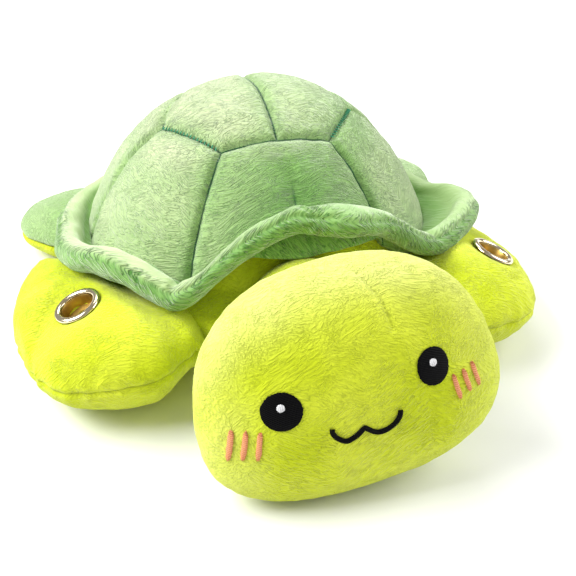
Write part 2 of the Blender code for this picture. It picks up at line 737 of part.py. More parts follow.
def build_neck():
    """An open tube of plush round its filling. Returns the hollow it needs in body and head."""
    holder = empty("neck_root", neck_frame())
    cover = ball(NECK_RADIUS, NECK_SEGMENTS, NECK_RINGS)
    mouth = NECK_RADIUS * NECK_MOUTH_SHARE
    keep_side(cover, (0, -mouth, 0), (0, 1, 0))
    keep_side(cover, (0, mouth, 0), (0, -1, 0))
    add_object("neck_cover", thicken(cover), LIME_PLUSH, holder)
    add_object("neck_stuffing", filling_of(ball(NECK_RADIUS, NECK_SEGMENTS, NECK_RINGS)), FILLING, holder)
    size = around(NECK_RADIUS + ROOT_GAP, NECK_SEGMENTS, NECK_RINGS)
    socket = add_object("neck_socket", ball(size, NECK_SEGMENTS, NECK_RINGS), FILLING)
    socket.matrix_world = neck_frame()
    return socket


def head_frame():
    """The head's middle: tipped back, then rolled."""
    tip = Matrix.Rotation(radians(HEAD_ROLL), 4, "Y") @ Matrix.Rotation(radians(HEAD_PITCH), 4, "X")
    return Matrix.Translation((0, HEAD_Y, HEAD_Z)) @ tip


def head_point(unit):
    """A pillow with a rounded oblong outline, wider below, in the head's frame."""
    flat = hypot(unit.x, unit.z)
    direction = (unit.x / flat, unit.z / flat) if flat > 0 else (0, 0)
    spread = flat ** HEAD_CROWN
    height = HEAD_HALF_HEIGHT * spread * signed_power(direction[1], HEAD_ROUNDNESS)
    width = HEAD_HALF_WIDTH * spread * signed_power(direction[0], HEAD_ROUNDNESS)
    depth = HEAD_FRONT_DEPTH if unit.y < 0 else HEAD_BACK_DEPTH
    return Vector((width * (1 - HEAD_WIDENING * height / HEAD_HALF_HEIGHT),
                   depth * signed_power(unit.y, HEAD_CROWN), height))


def head_form():
    """The head as one closed form, flat where the chin meets the floor."""
    return stand_flat(round_form(HEAD_SEGMENTS, HEAD_RINGS, head_point, "Y"), head_frame())


def face_point(x, z, lift):
    """A point over the face panel in the head's frame, lifted off the plush."""
    wide = abs(x / (HEAD_HALF_WIDTH * (1 - HEAD_WIDENING * z / HEAD_HALF_HEIGHT))) ** (2 / HEAD_ROUNDNESS)
    high = abs(z / HEAD_HALF_HEIGHT) ** (2 / HEAD_ROUNDNESS)
    spread = (wide + high) ** (HEAD_ROUNDNESS / 2)
    flat = spread ** (1 / HEAD_CROWN)
    depth = HEAD_FRONT_DEPTH * sqrt(max(0, 1 - flat ** 2)) ** HEAD_CROWN
    return Vector((x, -depth - lift, z))


def stitched_patch(x, z, half_width, half_height, slant, lift, segments):
    """A pad of satin stitch that follows the face, in the head's frame."""
    turn = Matrix.Rotation(radians(slant), 2)

    def place(unit):
        flat = turn @ Vector((half_width * unit.x, half_height * unit.z))
        return face_point(x + flat.x, z + flat.y, lift + STITCH_HEIGHT * (1 - unit.y) / 2)
    return round_form(segments, STITCH_RINGS, place, "Y")


def build_mouth(parent):
    """The stitched mouth: one line of thread with a fuller end on each side."""
    curve = bpy.data.curves.new("mouth", "CURVE")
    curve.dimensions = "3D"
    curve.bevel_depth = MOUTH_THREAD_RADIUS
    curve.bevel_resolution = 1
    curve.use_fill_caps = True
    spline = curve.splines.new("POLY")
    points = smooth_line(MOUTH_SHARES, MOUTH_STEPS)
    spline.points.add(len(points) - 1)
    for place, (x_share, z_share) in zip(spline.points, points):
        at = face_point(MOUTH_HALF_WIDTH * x_share, MOUTH_Z + MOUTH_DROP * z_share,
                        MOUTH_THREAD_RADIUS + FILL_GAP)
        place.co = (*at, 1)
    curve.materials.append(finish("mouth", BLACK_STITCH))
    mouth = bpy.data.objects.new("mouth", curve)
    bpy.context.collection.objects.link(mouth)
    mouth.parent = parent


def smooth_line(points, steps):
    """Points read from a smooth curve through the given ones."""
    line = []
    for index in range(len(points) - 1):
        a, b, c, d = (Vector(points[max(0, min(len(points) - 1, index + k))]) for k in (-1, 0, 1, 2))
        for step in range(steps):
            t = step / steps
            line.append(0.5 * (2 * b + (c - a) * t + (2 * a - 5 * b + 4 * c - d) * t ** 2
                               + (3 * b - a - 3 * c + d) * t ** 3))
    line.append(Vector(points[-1]))
    return line


def build_head(neck_socket):
    """Face and back panels over one filling, with the stitched face."""
    holder = empty("head_middle", head_frame())
    seam = (0, 0, 0)
    add_object("head_face", thicken(keep_side(head_form(), seam, (0, -1, 0))), LIME_PLUSH, holder)
    back = add_object("head_back", thicken(keep_side(head_form(), seam, (0, 1, 0))), LIME_PLUSH, holder)
    stuffing = add_object("head_stuffing", filling_of(head_form()), FILLING, holder)
    cut_away(back, neck_socket)
    cut_away(stuffing, neck_socket)
    for side, sign in SIDES:
        eye = stitched_patch(sign * EYE_X, EYE_Z, EYE_HALF_WIDTH, EYE_HALF_HEIGHT, 0, FILL_GAP,
                             EYE_SEGMENTS)
        add_object("eye_" + side, eye, BLACK_STITCH, holder)
        glint = stitched_patch(sign * EYE_X, EYE_Z + GLINT_RISE, GLINT_RADIUS, GLINT_RADIUS, 0,
                               STITCH_HEIGHT + 2 * FILL_GAP, MARK_SEGMENTS)
        add_object("eye_glint_" + side, glint, WHITE_STITCH, holder)
        for index in (-1, 0, 1):
            mark = stitched_patch(sign * CHEEK_X + index * CHEEK_MARK_PITCH, CHEEK_Z, CHEEK_MARK_HALF_WIDTH,
                                  CHEEK_MARK_HALF_LENGTH, CHEEK_MARK_SLANT * sign, FILL_GAP, MARK_SEGMENTS)
            add_object(f"cheek_mark_{side}_{index + 2}", mark, BLUSH_STITCH, holder)
    build_mouth(holder)


def main():
    clear_scene()
    build_shell()
    build_rim()
    neck_socket = build_neck()
    build_body(build_limbs() + [neck_socket])
    build_head(neck_socket)


main()
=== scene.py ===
"""Plush turtle: the dressed model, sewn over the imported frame.

Metres, +Z up, the turtle looks along -Y and stands on z = 0. Left is the side at -X.
Every padded piece is a closed or flanged form of fine quads, drawn in along its seams,
let out between them and wrinkled a little, and its plush is a brushed pile.
"""

import logging
from dataclasses import dataclass
from enum import Enum
from math import atan2, cos, degrees, exp, hypot, pi, radians, sin, sqrt
from typing import Callable, Optional, Sequence

import bmesh
import bpy
from mathutils import Matrix, Vector, noise


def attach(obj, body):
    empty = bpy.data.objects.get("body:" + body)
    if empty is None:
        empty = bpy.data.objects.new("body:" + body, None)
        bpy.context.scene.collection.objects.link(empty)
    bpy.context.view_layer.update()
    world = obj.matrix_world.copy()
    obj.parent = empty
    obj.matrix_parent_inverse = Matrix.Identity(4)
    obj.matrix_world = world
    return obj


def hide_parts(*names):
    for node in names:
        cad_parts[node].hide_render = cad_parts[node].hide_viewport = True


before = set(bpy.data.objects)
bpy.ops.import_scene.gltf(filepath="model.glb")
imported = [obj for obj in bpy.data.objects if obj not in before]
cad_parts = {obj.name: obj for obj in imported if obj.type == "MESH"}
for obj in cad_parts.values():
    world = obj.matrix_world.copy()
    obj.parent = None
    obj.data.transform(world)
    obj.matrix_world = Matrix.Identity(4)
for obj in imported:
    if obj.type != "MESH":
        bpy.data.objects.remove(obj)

LOG = logging.getLogger("turtle")
Colour = tuple[float, float, float, float]
Span = tuple[float, float]
Table = Sequence[tuple[float, float]]
Dips = Sequence[tuple[float, float]]
Waves = Sequence[tuple[float, float, float]]
Profile = Sequence[tuple[float, ...]]

SEAM = "seam"
SMOOTHED = "smoothed"
# A number per point for painted highlight: 1 where the pile's colour is turned fully paler to stand in for strong
# light.
PAINTED_LIGHT = "paled"
PILE = "pile"
WELD = 0.00002


class Side(Enum):
    """The two sides of the toy, with the sign of their x."""

    LEFT = -1
    RIGHT = 1

    @property
    def word(self) -> str:
        """The side's name as the nodes carry it."""
        return self.name.lower()


class PileRun(Enum):
    """How a plush's pile is brushed: by the object's axes, or along the piece's own map."""

    SWIRLED = "swirled"
    MAPPED = "mapped"


def between(table: Table, place: float) -> float:
    """Read a table smoothly, level at both ends.

    Args:
        table: Pairs of (place, value) in rising order.
        place: Where to read.

    Returns:
        The value there.
    """
    count = len(table)
    index = 0
    for index in range(count - 1):
        if place <= table[index + 1][0]:
            break
    low, high = table[index], table[index + 1]
    before = table[index - 1] if index else (2 * low[0] - high[0], high[1])
    after = table[index + 2] if index + 2 < count else (2 * high[0] - low[0], low[1])
    span = high[0] - low[0]
    part = min(1, max(0, (place - low[0]) / span))
    start = (high[1] - before[1]) / (high[0] - before[0]) * span
    end = (after[1] - low[1]) / (after[0] - low[0]) * span
    square, cube = part ** 2, part ** 3
    return ((2 * cube - 3 * square + 1) * low[1] + (cube - 2 * square + part) * start
            + (3 * square - 2 * cube) * high[1] + (cube - square) * end)


def signed_power(value: float, power: float) -> float:
    """A power that keeps the sign."""
    return (1 if value >= 0 else -1) * abs(value) ** power


def smooth_step(value: float) -> float:
    """Rise smoothly from 0 to 1."""
    value = max(0.0, min(1.0, value))
    return value * value * (3 - 2 * value)


def ramp(value: float, start: float, end: float) -> float:
    """Rise smoothly from 0 at the start to 1 at the end, which may lie on either side of it."""
    return smooth_step((value - start) / (end - start))


def dip(distance: float, width: float) -> float:
    """A bell that is 1 on a line and fades over a width."""
    return exp(-(distance / width) ** 2)


def dips(distance: float, grooves: Dips) -> float:
    """The sum of several bells, each given by its height and its width."""
    return sum(height * dip(distance, width) for height, width in grooves)


def crowded(share: float, amount: float) -> float:
    """Move shares of 0 to 1 towards both ends, where seams need finer quads."""
    return share - amount * sin(2 * pi * share) / (2 * pi)


def wrinkle(place: Vector, per_metre: float, seed: float = 0.0) -> float:
    """Smooth noise from -1 to 1, the same on every run."""
    return noise.noise(place * per_metre + Vector((seed, seed * 2, seed * 3)))


def wrinkled(place: Vector, waves: Waves) -> float:
    """The sum of several noises, each given by its height, its waves per metre and its seed."""
    return sum(height * wrinkle(place, per_metre, seed) for height, per_metre, seed in waves)


def heading(direction: Vector) -> float:
    """Angle from straight ahead in degrees, negative on the left."""
    return degrees(atan2(direction.x, -direction.y))


def facing(angle: float) -> Vector:
    """The level direction at a heading in degrees."""
    return Vector((sin(radians(angle)), -cos(radians(angle)), 0))


def column(profile: Profile, index: int, angle: float) -> float:
    """One column of a profile, read smoothly at a heading.

    Args:
        profile: Rows of a heading in degrees and measures in millimetres.
        index: Which column.
        angle: The heading.

    Returns:
        The measure in metres.
    """
    return between([(row[0], row[index]) for row in profile], angle) / 1000


def curve_through(points: Sequence[Vector], steps: int) -> list[Vector]:
    """Points of a smooth curve through the given ones.

    Args:
        points: The points it passes.
        steps: Points made for each span.

    Returns:
        The curve's points, both ends included.
    """
    line = []
    last = len(points) - 1
    for index in range(last):
        a, b, c, d = (Vector(points[max(0, min(last, index + k))]) for k in (-1, 0, 1, 2))
        for step in range(steps):
            t = step / steps
            line.append(0.5 * (2 * b + (c - a) * t + (2 * a - 5 * b + 4 * c - d) * t ** 2
                               + (3 * b - a - 3 * c + d) * t ** 3))
    line.append(Vector(points[-1]))
    return line


def sphere(segments: int, rings: int, pole: str) -> bmesh.types.BMesh:
    """A unit sphere of quads.

    Args:
        segments: Quads round it.
        rings: Quads from pole to pole.
        pole: The axis on which its poles lie, "X", "Y" or "Z".

    Returns:
        The bmesh.
    """
    bm = bmesh.new()
    bmesh.ops.create_uvsphere(bm, u_segments=segments, v_segments=rings, radius=1)
    about = {"X": "Y", "Y": "X"}.get(pole)
    if about:
        bmesh.ops.rotate(bm, verts=bm.verts, matrix=Matrix.Rotation(pi / 2, 3, about))
    return bm


def sheet_of_quads(columns: int, rows: int) -> bmesh.types.BMesh:
    """A flat grid whose points run from 0 to 1 along x and y.

    Args:
        columns: Quads along x.
        rows: Quads along y.

    Returns:
        The bmesh.
    """
    bm = bmesh.new()
    bmesh.ops.create_grid(bm, x_segments=columns, y_segments=rows, size=0.5)
    bmesh.ops.translate(bm, verts=bm.verts, vec=(0.5, 0.5, 0))
    return bm


def number_layer(bm: bmesh.types.BMesh, name: str = SEAM) -> bmesh.types.BMLayerItem:
    """A number for each point.

    Args:
        bm: The form.
        name: SEAM, which is 1 on a seam, SMOOTHED, 1 where the pile lies flat, or the painted-light number, 1 where
            the colour is turned fully to a painted highlight.

    Returns:
        The layer, made if it wasn't there.
    """
    return bm.verts.layers.float.get(name) or bm.verts.layers.float.new(name)


def turned_in(bm: bmesh.types.BMesh) -> list[bmesh.types.BMVert]:
    """Extrude a form's open edges.

    Args:
        bm: The form.

    Returns:
        The new points, which still lie on the old ones.
    """
    edges = [edge for edge in bm.edges if edge.is_boundary]
    made = bmesh.ops.extrude_edge_only(bm, edges=edges)["geom"]
    return [item for item in made if isinstance(item, bmesh.types.BMVert)]


def placed(name: str, data: bpy.types.ID) -> bpy.types.Object:
    """Put new data into the scene as an object.

    Args:
        name: The object's name.
        data: Its mesh, curve, light or camera.

    Returns:
        The object.
    """
    obj = bpy.data.objects.new(name, data)
    bpy.context.collection.objects.link(obj)
    return obj


def mesh_of(bm: bmesh.types.BMesh, name: str) -> bpy.types.Mesh:
    """Turn a bmesh, used up here, into a mesh.

    Args:
        bm: The form.
        name: The mesh's name.

    Returns:
        The mesh.
    """
    mesh = bpy.data.meshes.new(name)
    bm.to_mesh(mesh)
    bm.free()
    return mesh


def chart(bm: bmesh.types.BMesh, laid: dict[bmesh.types.BMVert, tuple[float, float]]) -> None:
    """Lay a piece's map out in metres.

    Args:
        bm: The form.
        laid: Each point's place on the map, whose first axis runs along the creases of the pile.
    """
    layer = bm.loops.layers.uv.new(PILE)
    for face in bm.faces:
        for loop in face.loops:
            loop[layer].uv = laid[loop.vert]


def lengthen(place: Vector, scale: tuple[float, float, float], seed: float) -> float:
    """Noise from -1 to 1 with its own scale along each axis, for puckers that run one way."""
    return noise.noise(Vector((place.x * scale[0], place.y * scale[1], place.z * scale[2]))
                       + Vector((seed, seed * 2, seed * 3)))


def stitches(bm: bmesh.types.BMesh, spots: Sequence[tuple[Vector, Vector, Vector]], half_length: float,
             half_width: float, sink: float) -> None:
    """Add short stitches to a bmesh.

    Args:
        bm: Where they go.
        spots: For each stitch its middle, its direction and the way out of the plush.
        half_length: Half a stitch's length.
        half_width: Half its thickness.
        sink: How far its middle lies under the given point.
    """
    for place, along, up in spots:
        turn = Matrix((up.cross(along), along, up)).transposed().to_4x4()
        grown = bmesh.ops.create_uvsphere(bm, u_segments=8, v_segments=6, radius=1)["verts"]
        matrix = turn @ Matrix.Diagonal((half_width, half_length, half_width, 1))
        bmesh.ops.transform(bm, verts=grown, matrix=matrix)
        bmesh.ops.translate(bm, verts=grown, vec=place - up * sink)


class Nodes:
    """Builds one node tree, a material's or a group's."""

    def __init__(self, tree: bpy.types.NodeTree) -> None:
        """Start on an empty tree."""
        self.tree = tree
        tree.nodes.clear()

    def add(self, kind: str, **values: object) -> bpy.types.Node:
        """Add a node.

        Args:
            kind: Its type.
            values: Its own settings by name.

        Returns:
            The node.
        """
        node = self.tree.nodes.new(kind)
        for name, value in values.items():
            setattr(node, name, value)
        return node

    def feed(self, node: bpy.types.Node, socket: object, source: object) -> None:
        """Feed an input.

        Args:
            node: The node.
            socket: The input's name or number.
            source: Another node's output, or a value.
        """
        target = node.inputs[socket]
        if isinstance(source, bpy.types.NodeSocket):
            self.tree.links.new(source, target)
        else:
            target.default_value = source

    def maths(self, operation: str, *inputs: object) -> bpy.types.NodeSocket:
        """One step of arithmetic.

        Args:
            operation: The step.
            inputs: What goes in, outputs of nodes or values.

        Returns:
            The result.
        """
        node = self.add("ShaderNodeMath", operation=operation)
        for index, value in enumerate(inputs):
            self.feed(node, index, value)
        return node.outputs[0]

    def vector(self, operation: str, *inputs: object) -> bpy.types.NodeSocket:
        """One step of vector arithmetic.

        Args:
            operation: The step.
            inputs: What goes in, outputs of nodes or values.

        Returns:
            The result.
        """
        node = self.add("ShaderNodeVectorMath", operation=operation)
        for index, value in enumerate(inputs):
            self.feed(node, index, value)
        return node.outputs[0]

    def noise(self, place: object, scale: object, detail: float = 2.0) -> bpy.types.Node:
        """A noise texture read at a place.

        Args:
            place: Where it is read.
            scale: Its waves per unit.
            detail: How many finer layers it has.

        Returns:
            The node.
        """
        node = self.add("ShaderNodeTexNoise")
        self.feed(node, "Vector", place)
        self.feed(node, "Scale", scale)
        self.feed(node, "Detail", detail)
        return node

    def mix(self, data_type: str, sockets: tuple[int, int, int], values: Sequence[object]) -> bpy.types.Node:
        """Mix two numbers or two colours.

        Args:
            data_type: What is mixed.
            sockets: The inputs for the share and for both ends.
            values: What goes into them.

        Returns:
            The node.
        """
        node = self.add("ShaderNodeMix", data_type=data_type)
        for socket, value in zip(sockets, values):
            self.feed(node, socket, value)
        return node

    def blend(self, share: object, low: object, high: object) -> bpy.types.NodeSocket:
        """Mix two numbers."""
        return self.mix("FLOAT", (0, 2, 3), (share, low, high)).outputs[0]

    def tint(self, share: object, low: object, high: object) -> bpy.types.NodeSocket:
        """Mix two colours."""
        return self.mix("RGBA", (0, 6, 7), (share, low, high)).outputs[2]

    def number(self, name: str) -> bpy.types.NodeSocket:
        """Read one of the piece's own numbers."""
        return self.add("ShaderNodeAttribute", attribute_name=name).outputs["Fac"]

    def here(self) -> bpy.types.NodeSocket:
        """The place in the object's own coordinates."""
        return self.add("ShaderNodeTexCoord").outputs["Object"]

    def bump(self, height: object, distance: float, strength: float) -> bpy.types.NodeSocket:
        """Turn a height into a normal.

        Args:
            height: The height, from 0 to 1.
            distance: What a height of 1 stands for in metres.
            strength: How strongly it counts.

        Returns:
            The normal.
        """
        node = self.add("ShaderNodeBump")
        for name, value in (("Height", height), ("Distance", distance), ("Strength", strength)):
            self.feed(node, name, value)
        return node.outputs[0]

    def spread(self, value: object, low: float, high: float) -> bpy.types.NodeSocket:
        """Stretch a range of values to 0 to 1, smoothly.

        Args:
            value: The value.
            low: What becomes 0.
            high: What becomes 1.

        Returns:
            The result.
        """
        node = self.add("ShaderNodeMapRange", interpolation_type="SMOOTHSTEP")
        for name, item in (("Value", value), ("From Min", low), ("From Max", high)):
            self.feed(node, name, item)
        return node.outputs[0]


@dataclass(frozen=True)
class BrushedPile:
    """The node group that every plush shares: fine creases along the first axis, in locks that lean two ways."""

    name: str = "brushed pile"
    inputs: tuple[str, ...] = ("Width", "Length", "Swirl", "Lean", "Line")
    outputs: tuple[str, ...] = ("Height", "Crease", "Patch")
    swirl_scale: float = 26.0
    leans: tuple[float, float] = (1.0, -0.8)
    lock_scale: float = 38.0
    lock_edge: tuple[float, float] = (0.46, 0.54)
    depth_scale: float = 130.0
    depth_range: tuple[float, float] = (0.40, 0.66)
    shallowest: float = 0.42
    strand_range: tuple[float, float] = (0.25, 0.75)
    crease_drop: float = 0.55
    patch_scale: float = 30.0

    def start(self) -> tuple[bpy.types.NodeTree, Nodes, bpy.types.Node, bpy.types.Node]:
        """Make the empty group.

        Returns:
            Its tree, its builder, its input node and its output node.
        """
        tree = bpy.data.node_groups.new(self.name, "ShaderNodeTree")
        tree.interface.new_socket("Vector", in_out="INPUT", socket_type="NodeSocketVector")
        for label in self.inputs:
            tree.interface.new_socket(label, in_out="INPUT", socket_type="NodeSocketFloat")
        for label in self.outputs:
            tree.interface.new_socket(label, in_out="OUTPUT", socket_type="NodeSocketFloat")
        build = Nodes(tree)
        return tree, build, build.add("NodeGroupInput"), build.add("NodeGroupOutput")

    def tree(self) -> bpy.types.NodeTree:
        """Build the group, once.

        Returns:
            The tree, whose outputs are named as in outputs.
        """
        found = bpy.data.node_groups.get(self.name)
        if found:
            return found
        tree, build, given, result = self.start()
        place = given.outputs["Vector"]
        slow = build.noise(place, self.swirl_scale, 1.0)
        swirl = build.add("ShaderNodeVectorMath", operation="SCALE")
        build.feed(swirl, 0, build.vector("SUBTRACT", slow.outputs["Color"], (0.5, 0.5, 0.5)))
        build.feed(swirl, "Scale", given.outputs["Swirl"])
        bent = build.vector("ADD", place, swirl.outputs[0])
        across = build.maths("DIVIDE", 1.0, given.outputs["Width"])
        along = build.maths("DIVIDE", 1.0, given.outputs["Length"])
        stretch = build.add("ShaderNodeCombineXYZ")
        for index, value in enumerate((along, across, across)):
            build.feed(stretch, index, value)
        locks = []
        for way in self.leans:
            leaning = build.add("ShaderNodeVectorRotate", rotation_type="Y_AXIS")
            build.feed(leaning, "Vector", bent)
            build.feed(leaning, "Angle", build.maths("MULTIPLY", given.outputs["Lean"], way))
            laid = build.vector("MULTIPLY", leaning.outputs[0], stretch.outputs[0])
            locks.append(build.noise(laid, 1.0).outputs["Fac"])
        pick = build.noise(place, self.lock_scale).outputs["Fac"]
        strands = build.blend(build.spread(pick, *self.lock_edge), *locks)
        off_line = build.maths("ABSOLUTE", build.maths("SUBTRACT", strands, 0.5))
        off_line = build.spread(build.maths("DIVIDE", off_line, given.outputs["Line"]), 0.0, 1.0)
        deep = build.spread(build.noise(place, self.depth_scale).outputs["Fac"], *self.depth_range)
        crease = build.maths("MULTIPLY", build.maths("SUBTRACT", 1.0, off_line),
                             build.blend(deep, self.shallowest, 1.0))
        height = build.maths("SUBTRACT", build.spread(strands, *self.strand_range),
                             build.maths("MULTIPLY", crease, self.crease_drop))
        patch = build.spread(build.noise(place, self.patch_scale, 3.0).outputs["Fac"], 0.25, 0.75)
        for label, value in zip(self.outputs, (height, crease, patch)):
            build.feed(result, label, value)
        return tree


@dataclass(frozen=True)
class Finish:
    """What a surface is made of: one material, made once and shared."""

    name: str

    def paint(self, build: Nodes) -> dict[str, object]:
        """Add the finish's nodes to a material.

        Args:
            build: The material's builder.

        Returns:
            The shader's inputs by name, each a value or another node's output.
        """
        raise NotImplementedError

    def material(self) -> bpy.types.Material:
        """Build the finish's material, once.

        Returns:
            The material.
        """
        found = bpy.data.materials.get(self.name)
        if found:
            return found
        material = bpy.data.materials.new(self.name)
        material.use_nodes = True
        build = Nodes(material.node_tree)
        inputs = self.paint(build)
        shader = build.add("ShaderNodeBsdfPrincipled")
        for label, value in inputs.items():
            build.feed(shader, label, value)
        output = build.add("ShaderNodeOutputMaterial")
        build.feed(output, "Surface", shader.outputs[0])
        return material


@dataclass(frozen=True)
class Plush(Finish):
    """Short-pile plush: linear colours of its creases (painted shade), its pile and its palest patches, and its
    thread's, and the painted highlight's colour.
    """

    deep: Colour
    middle: Colour
    pale: Colour
    thread: Colour
    # The painted highlight's colour, laid where light falls strongest.
    painted_highlight: Colour = (0.52, 0.70, 0.36, 1)
    width: float = 0.0013
    length: float = 0.0075
    swirl: float = 0.014
    lean: float = 0.4
    line: float = 0.06
    relief: float = 0.0011
    strength: float = 0.75
    # How far the creases turn to the deep colour, as painted shade.
    crease: float = 0.85
    sheen: float = 0.9
    sheen_tint: Colour = (0.93, 1.0, 0.82, 1)
    run: PileRun = PileRun.SWIRLED

    def place(self, build: Nodes) -> bpy.types.NodeSocket:
        """Where the pile is read: in the object's axes, or on the piece's map stood upright.

        Args:
            build: The material's builder.

        Returns:
            The place.
        """
        if self.run is PileRun.SWIRLED:
            return build.here()
        flat = build.add("ShaderNodeSeparateXYZ")
        build.feed(flat, 0, build.add("ShaderNodeUVMap", uv_map=PILE).outputs[0])
        upright = build.add("ShaderNodeCombineXYZ")
        build.feed(upright, 0, flat.outputs[0])
        build.feed(upright, 2, flat.outputs[1])
        return upright.outputs[0]

    def paint(self, build: Nodes) -> dict[str, object]:
        """Colour the pile by its creases, darkened as painted shade, its patches, a painted highlight where light
        falls strongest, and the seams' thread.

        Args:
            build: The material's builder.

        Returns:
            The shader's inputs by name.
        """
        pile = build.add("ShaderNodeGroup", node_tree=BrushedPile().tree())
        build.feed(pile, "Vector", self.place(build))
        for label, value in zip(BrushedPile.inputs, (self.width, self.length, self.swirl, self.lean, self.line)):
            build.feed(pile, label, value)
        rough = build.maths("MULTIPLY_ADD", build.number(SMOOTHED), -0.85, 1.0)
        crease = build.maths("MULTIPLY", pile.outputs["Crease"], rough)
        # The pile's tone, turned paler by the painted-light number: a painted highlight.
        cloth = build.tint(build.number(PAINTED_LIGHT), build.tint(pile.outputs["Patch"], self.middle, self.pale),
                           self.painted_highlight)
        # Painted shade: the creases of the pile turn to the deep colour, as if shade fell in them.
        crease_shaded = build.tint(build.maths("MULTIPLY", crease, self.crease), cloth, self.deep)
        shade = build.tint(build.spread(build.number(SEAM), 0.35, 1.0), crease_shaded, self.thread)
        height = build.maths("MULTIPLY", pile.outputs["Height"], rough)
        return {"Base Color": shade, "Roughness": build.blend(crease, 0.82, 0.98),
                "Normal": build.bump(height, self.relief, self.strength), "Specular IOR Level": 0.1,
                "Sheen Weight": self.sheen, "Sheen Roughness": 0.4, "Sheen Tint": self.sheen_tint}


@dataclass(frozen=True)
class SatinStitch(Finish):
    """Machine embroidery: close threads side by side, a little glossy."""

    colour: Colour
    light: Colour
    turn: float = 0.0
    gloss: float = 0.3
    thread_bands: float = 325.0
    fuzz_scale: float = 900.0

    def paint(self, build: Nodes) -> dict[str, object]:
        """Lay the threads side by side at the stitch's own turn, with a little fuzz.

        Args:
            build: The material's builder.

        Returns:
            The shader's inputs by name.
        """
        place = build.here()
        turned = build.add("ShaderNodeMapping")
        build.feed(turned, "Vector", place)
        build.feed(turned, "Rotation", (0.0, radians(self.turn), 0.0))
        wave = build.add("ShaderNodeTexWave", wave_type="BANDS", bands_direction="X")
        for label, value in (("Vector", turned.outputs[0]), ("Scale", self.thread_bands), ("Distortion", 1.2),
                             ("Detail", 1.0), ("Detail Scale", 3.0)):
            build.feed(wave, label, value)
        fuzz = build.noise(place, self.fuzz_scale)
        height = build.blend(0.35, wave.outputs["Fac"], fuzz.outputs["Fac"])
        return {"Base Color": build.tint(build.spread(height, 0.25, 0.95), self.colour, self.light),
                "Roughness": build.blend(height, 0.75, 0.5), "Normal": build.bump(height, 0.0004, 0.7),
                "Specular IOR Level": self.gloss}


@dataclass(frozen=True)
class RolledMetal(Finish):
    """Stamped and polished sheet metal with faint scratches and dulled patches."""

    colour: Colour
    dull: Colour
    roughness: float = 0.12
    dulling: float = 1.9
    patch_scale: float = 160.0
    scratch_scale: tuple[float, float, float] = (900.0, 900.0, 90.0)

    def paint(self, build: Nodes) -> dict[str, object]:
        """Dull the metal in patches and scratch it finely.

        Args:
            build: The material's builder.

        Returns:
            The shader's inputs by name.
        """
        place = build.here()
        patch = build.noise(place, self.patch_scale, 3.0).outputs["Fac"]
        fine = build.noise(build.vector("MULTIPLY", place, self.scratch_scale), 1.0).outputs["Fac"]
        return {"Base Color": build.tint(build.spread(patch, 0.35, 0.75), self.colour, self.dull), "Metallic": 1.0,
                "Roughness": build.blend(patch, self.roughness, self.roughness * self.dulling),
                "Normal": build.bump(fine, 0.00004, 0.35)}


@dataclass(frozen=True)
class StudioFloor(Finish):
    """A pale seamless floor."""

    name: str = "studio floor"
    darker: Colour = (0.90, 0.90, 0.89, 1.0)
    lighter: Colour = (0.94, 0.94, 0.935, 1.0)

    def paint(self, build: Nodes) -> dict[str, object]:
        """Vary the floor's pale colour and its gloss a little."""
        grain = build.noise(build.here(), 8.0).outputs["Fac"]
        return {"Base Color": build.tint(grain, self.darker, self.lighter), "Roughness": build.blend(grain, 0.9, 0.8)}


SHELL_THREAD = (0.010, 0.14, 0.05, 1.0)
SHELL_PLUSH = Plush("shell plush", (0.12, 0.34, 0.06, 1), (0.205, 0.43, 0.10, 1), (0.30, 0.52, 0.17, 1),
                    SHELL_THREAD, (0.62, 0.70, 0.41, 1), line=0.045, relief=0.0013, strength=0.85, crease=0.58,
                    run=PileRun.MAPPED)
FIN_PLUSH = Plush("rear flipper plush", (0.16, 0.38, 0.09, 1), (0.33, 0.53, 0.19, 1), (0.41, 0.60, 0.25, 1),
                  SHELL_THREAD, line=0.042, crease=0.5)
RIM_PLUSH = Plush("rim plush", (0.04, 0.17, 0.02, 1), (0.20, 0.40, 0.10, 1), (0.27, 0.48, 0.15, 1),
                  (0.05, 0.14, 0.03, 1), (0.58, 0.72, 0.38, 1), width=0.0017, length=0.011, swirl=0.003,
                  lean=0.12, line=0.085, relief=0.0016, strength=0.9, crease=0.85, run=PileRun.MAPPED)
LIME_PLUSH = Plush("lime plush", (0.40, 0.50, 0.006, 1), (0.61, 0.72, 0.013, 1), (0.77, 0.86, 0.055, 1),
                   (0.20, 0.25, 0.006, 1), (0.86, 0.92, 0.24, 1), width=0.0012, length=0.0085, lean=0.6,
                   relief=0.0012, strength=0.7, crease=0.4, sheen=0.45, sheen_tint=(1.0, 1.0, 0.6, 1))
BLACK_STITCH = SatinStitch("black satin stitch", (0.0006, 0.0006, 0.0008, 1), (0.003, 0.003, 0.004, 1), 70,
                           gloss=0.08)
WHITE_STITCH = SatinStitch("white satin stitch", (0.70, 0.70, 0.72, 1), (0.90, 0.90, 0.90, 1), 10)
BLUSH_STITCH = SatinStitch("blush satin stitch", (0.74, 0.24, 0.09, 1), (0.95, 0.47, 0.25, 1), 80)
TEAL_THREAD = SatinStitch("teal thread", (0.02, 0.24, 0.12, 1), (0.12, 0.45, 0.26, 1), 30)
EYELET_METAL = RolledMetal("polished eyelet metal", (0.88, 0.77, 0.55, 1), (0.70, 0.56, 0.32, 1), 0.08)
# Painted shade: the barrel's metal is the ring's metal darkened, as the inside of the bore is in shadow.
BORE_SHADE_METAL = RolledMetal("gilt barrel metal", (0.60, 0.42, 0.12, 1), (0.42, 0.28, 0.07, 1), 0.28)
WASHER_METAL = RolledMetal("plain washer brass", (0.62, 0.42, 0.14, 1), (0.42, 0.27, 0.08, 1), 0.26)


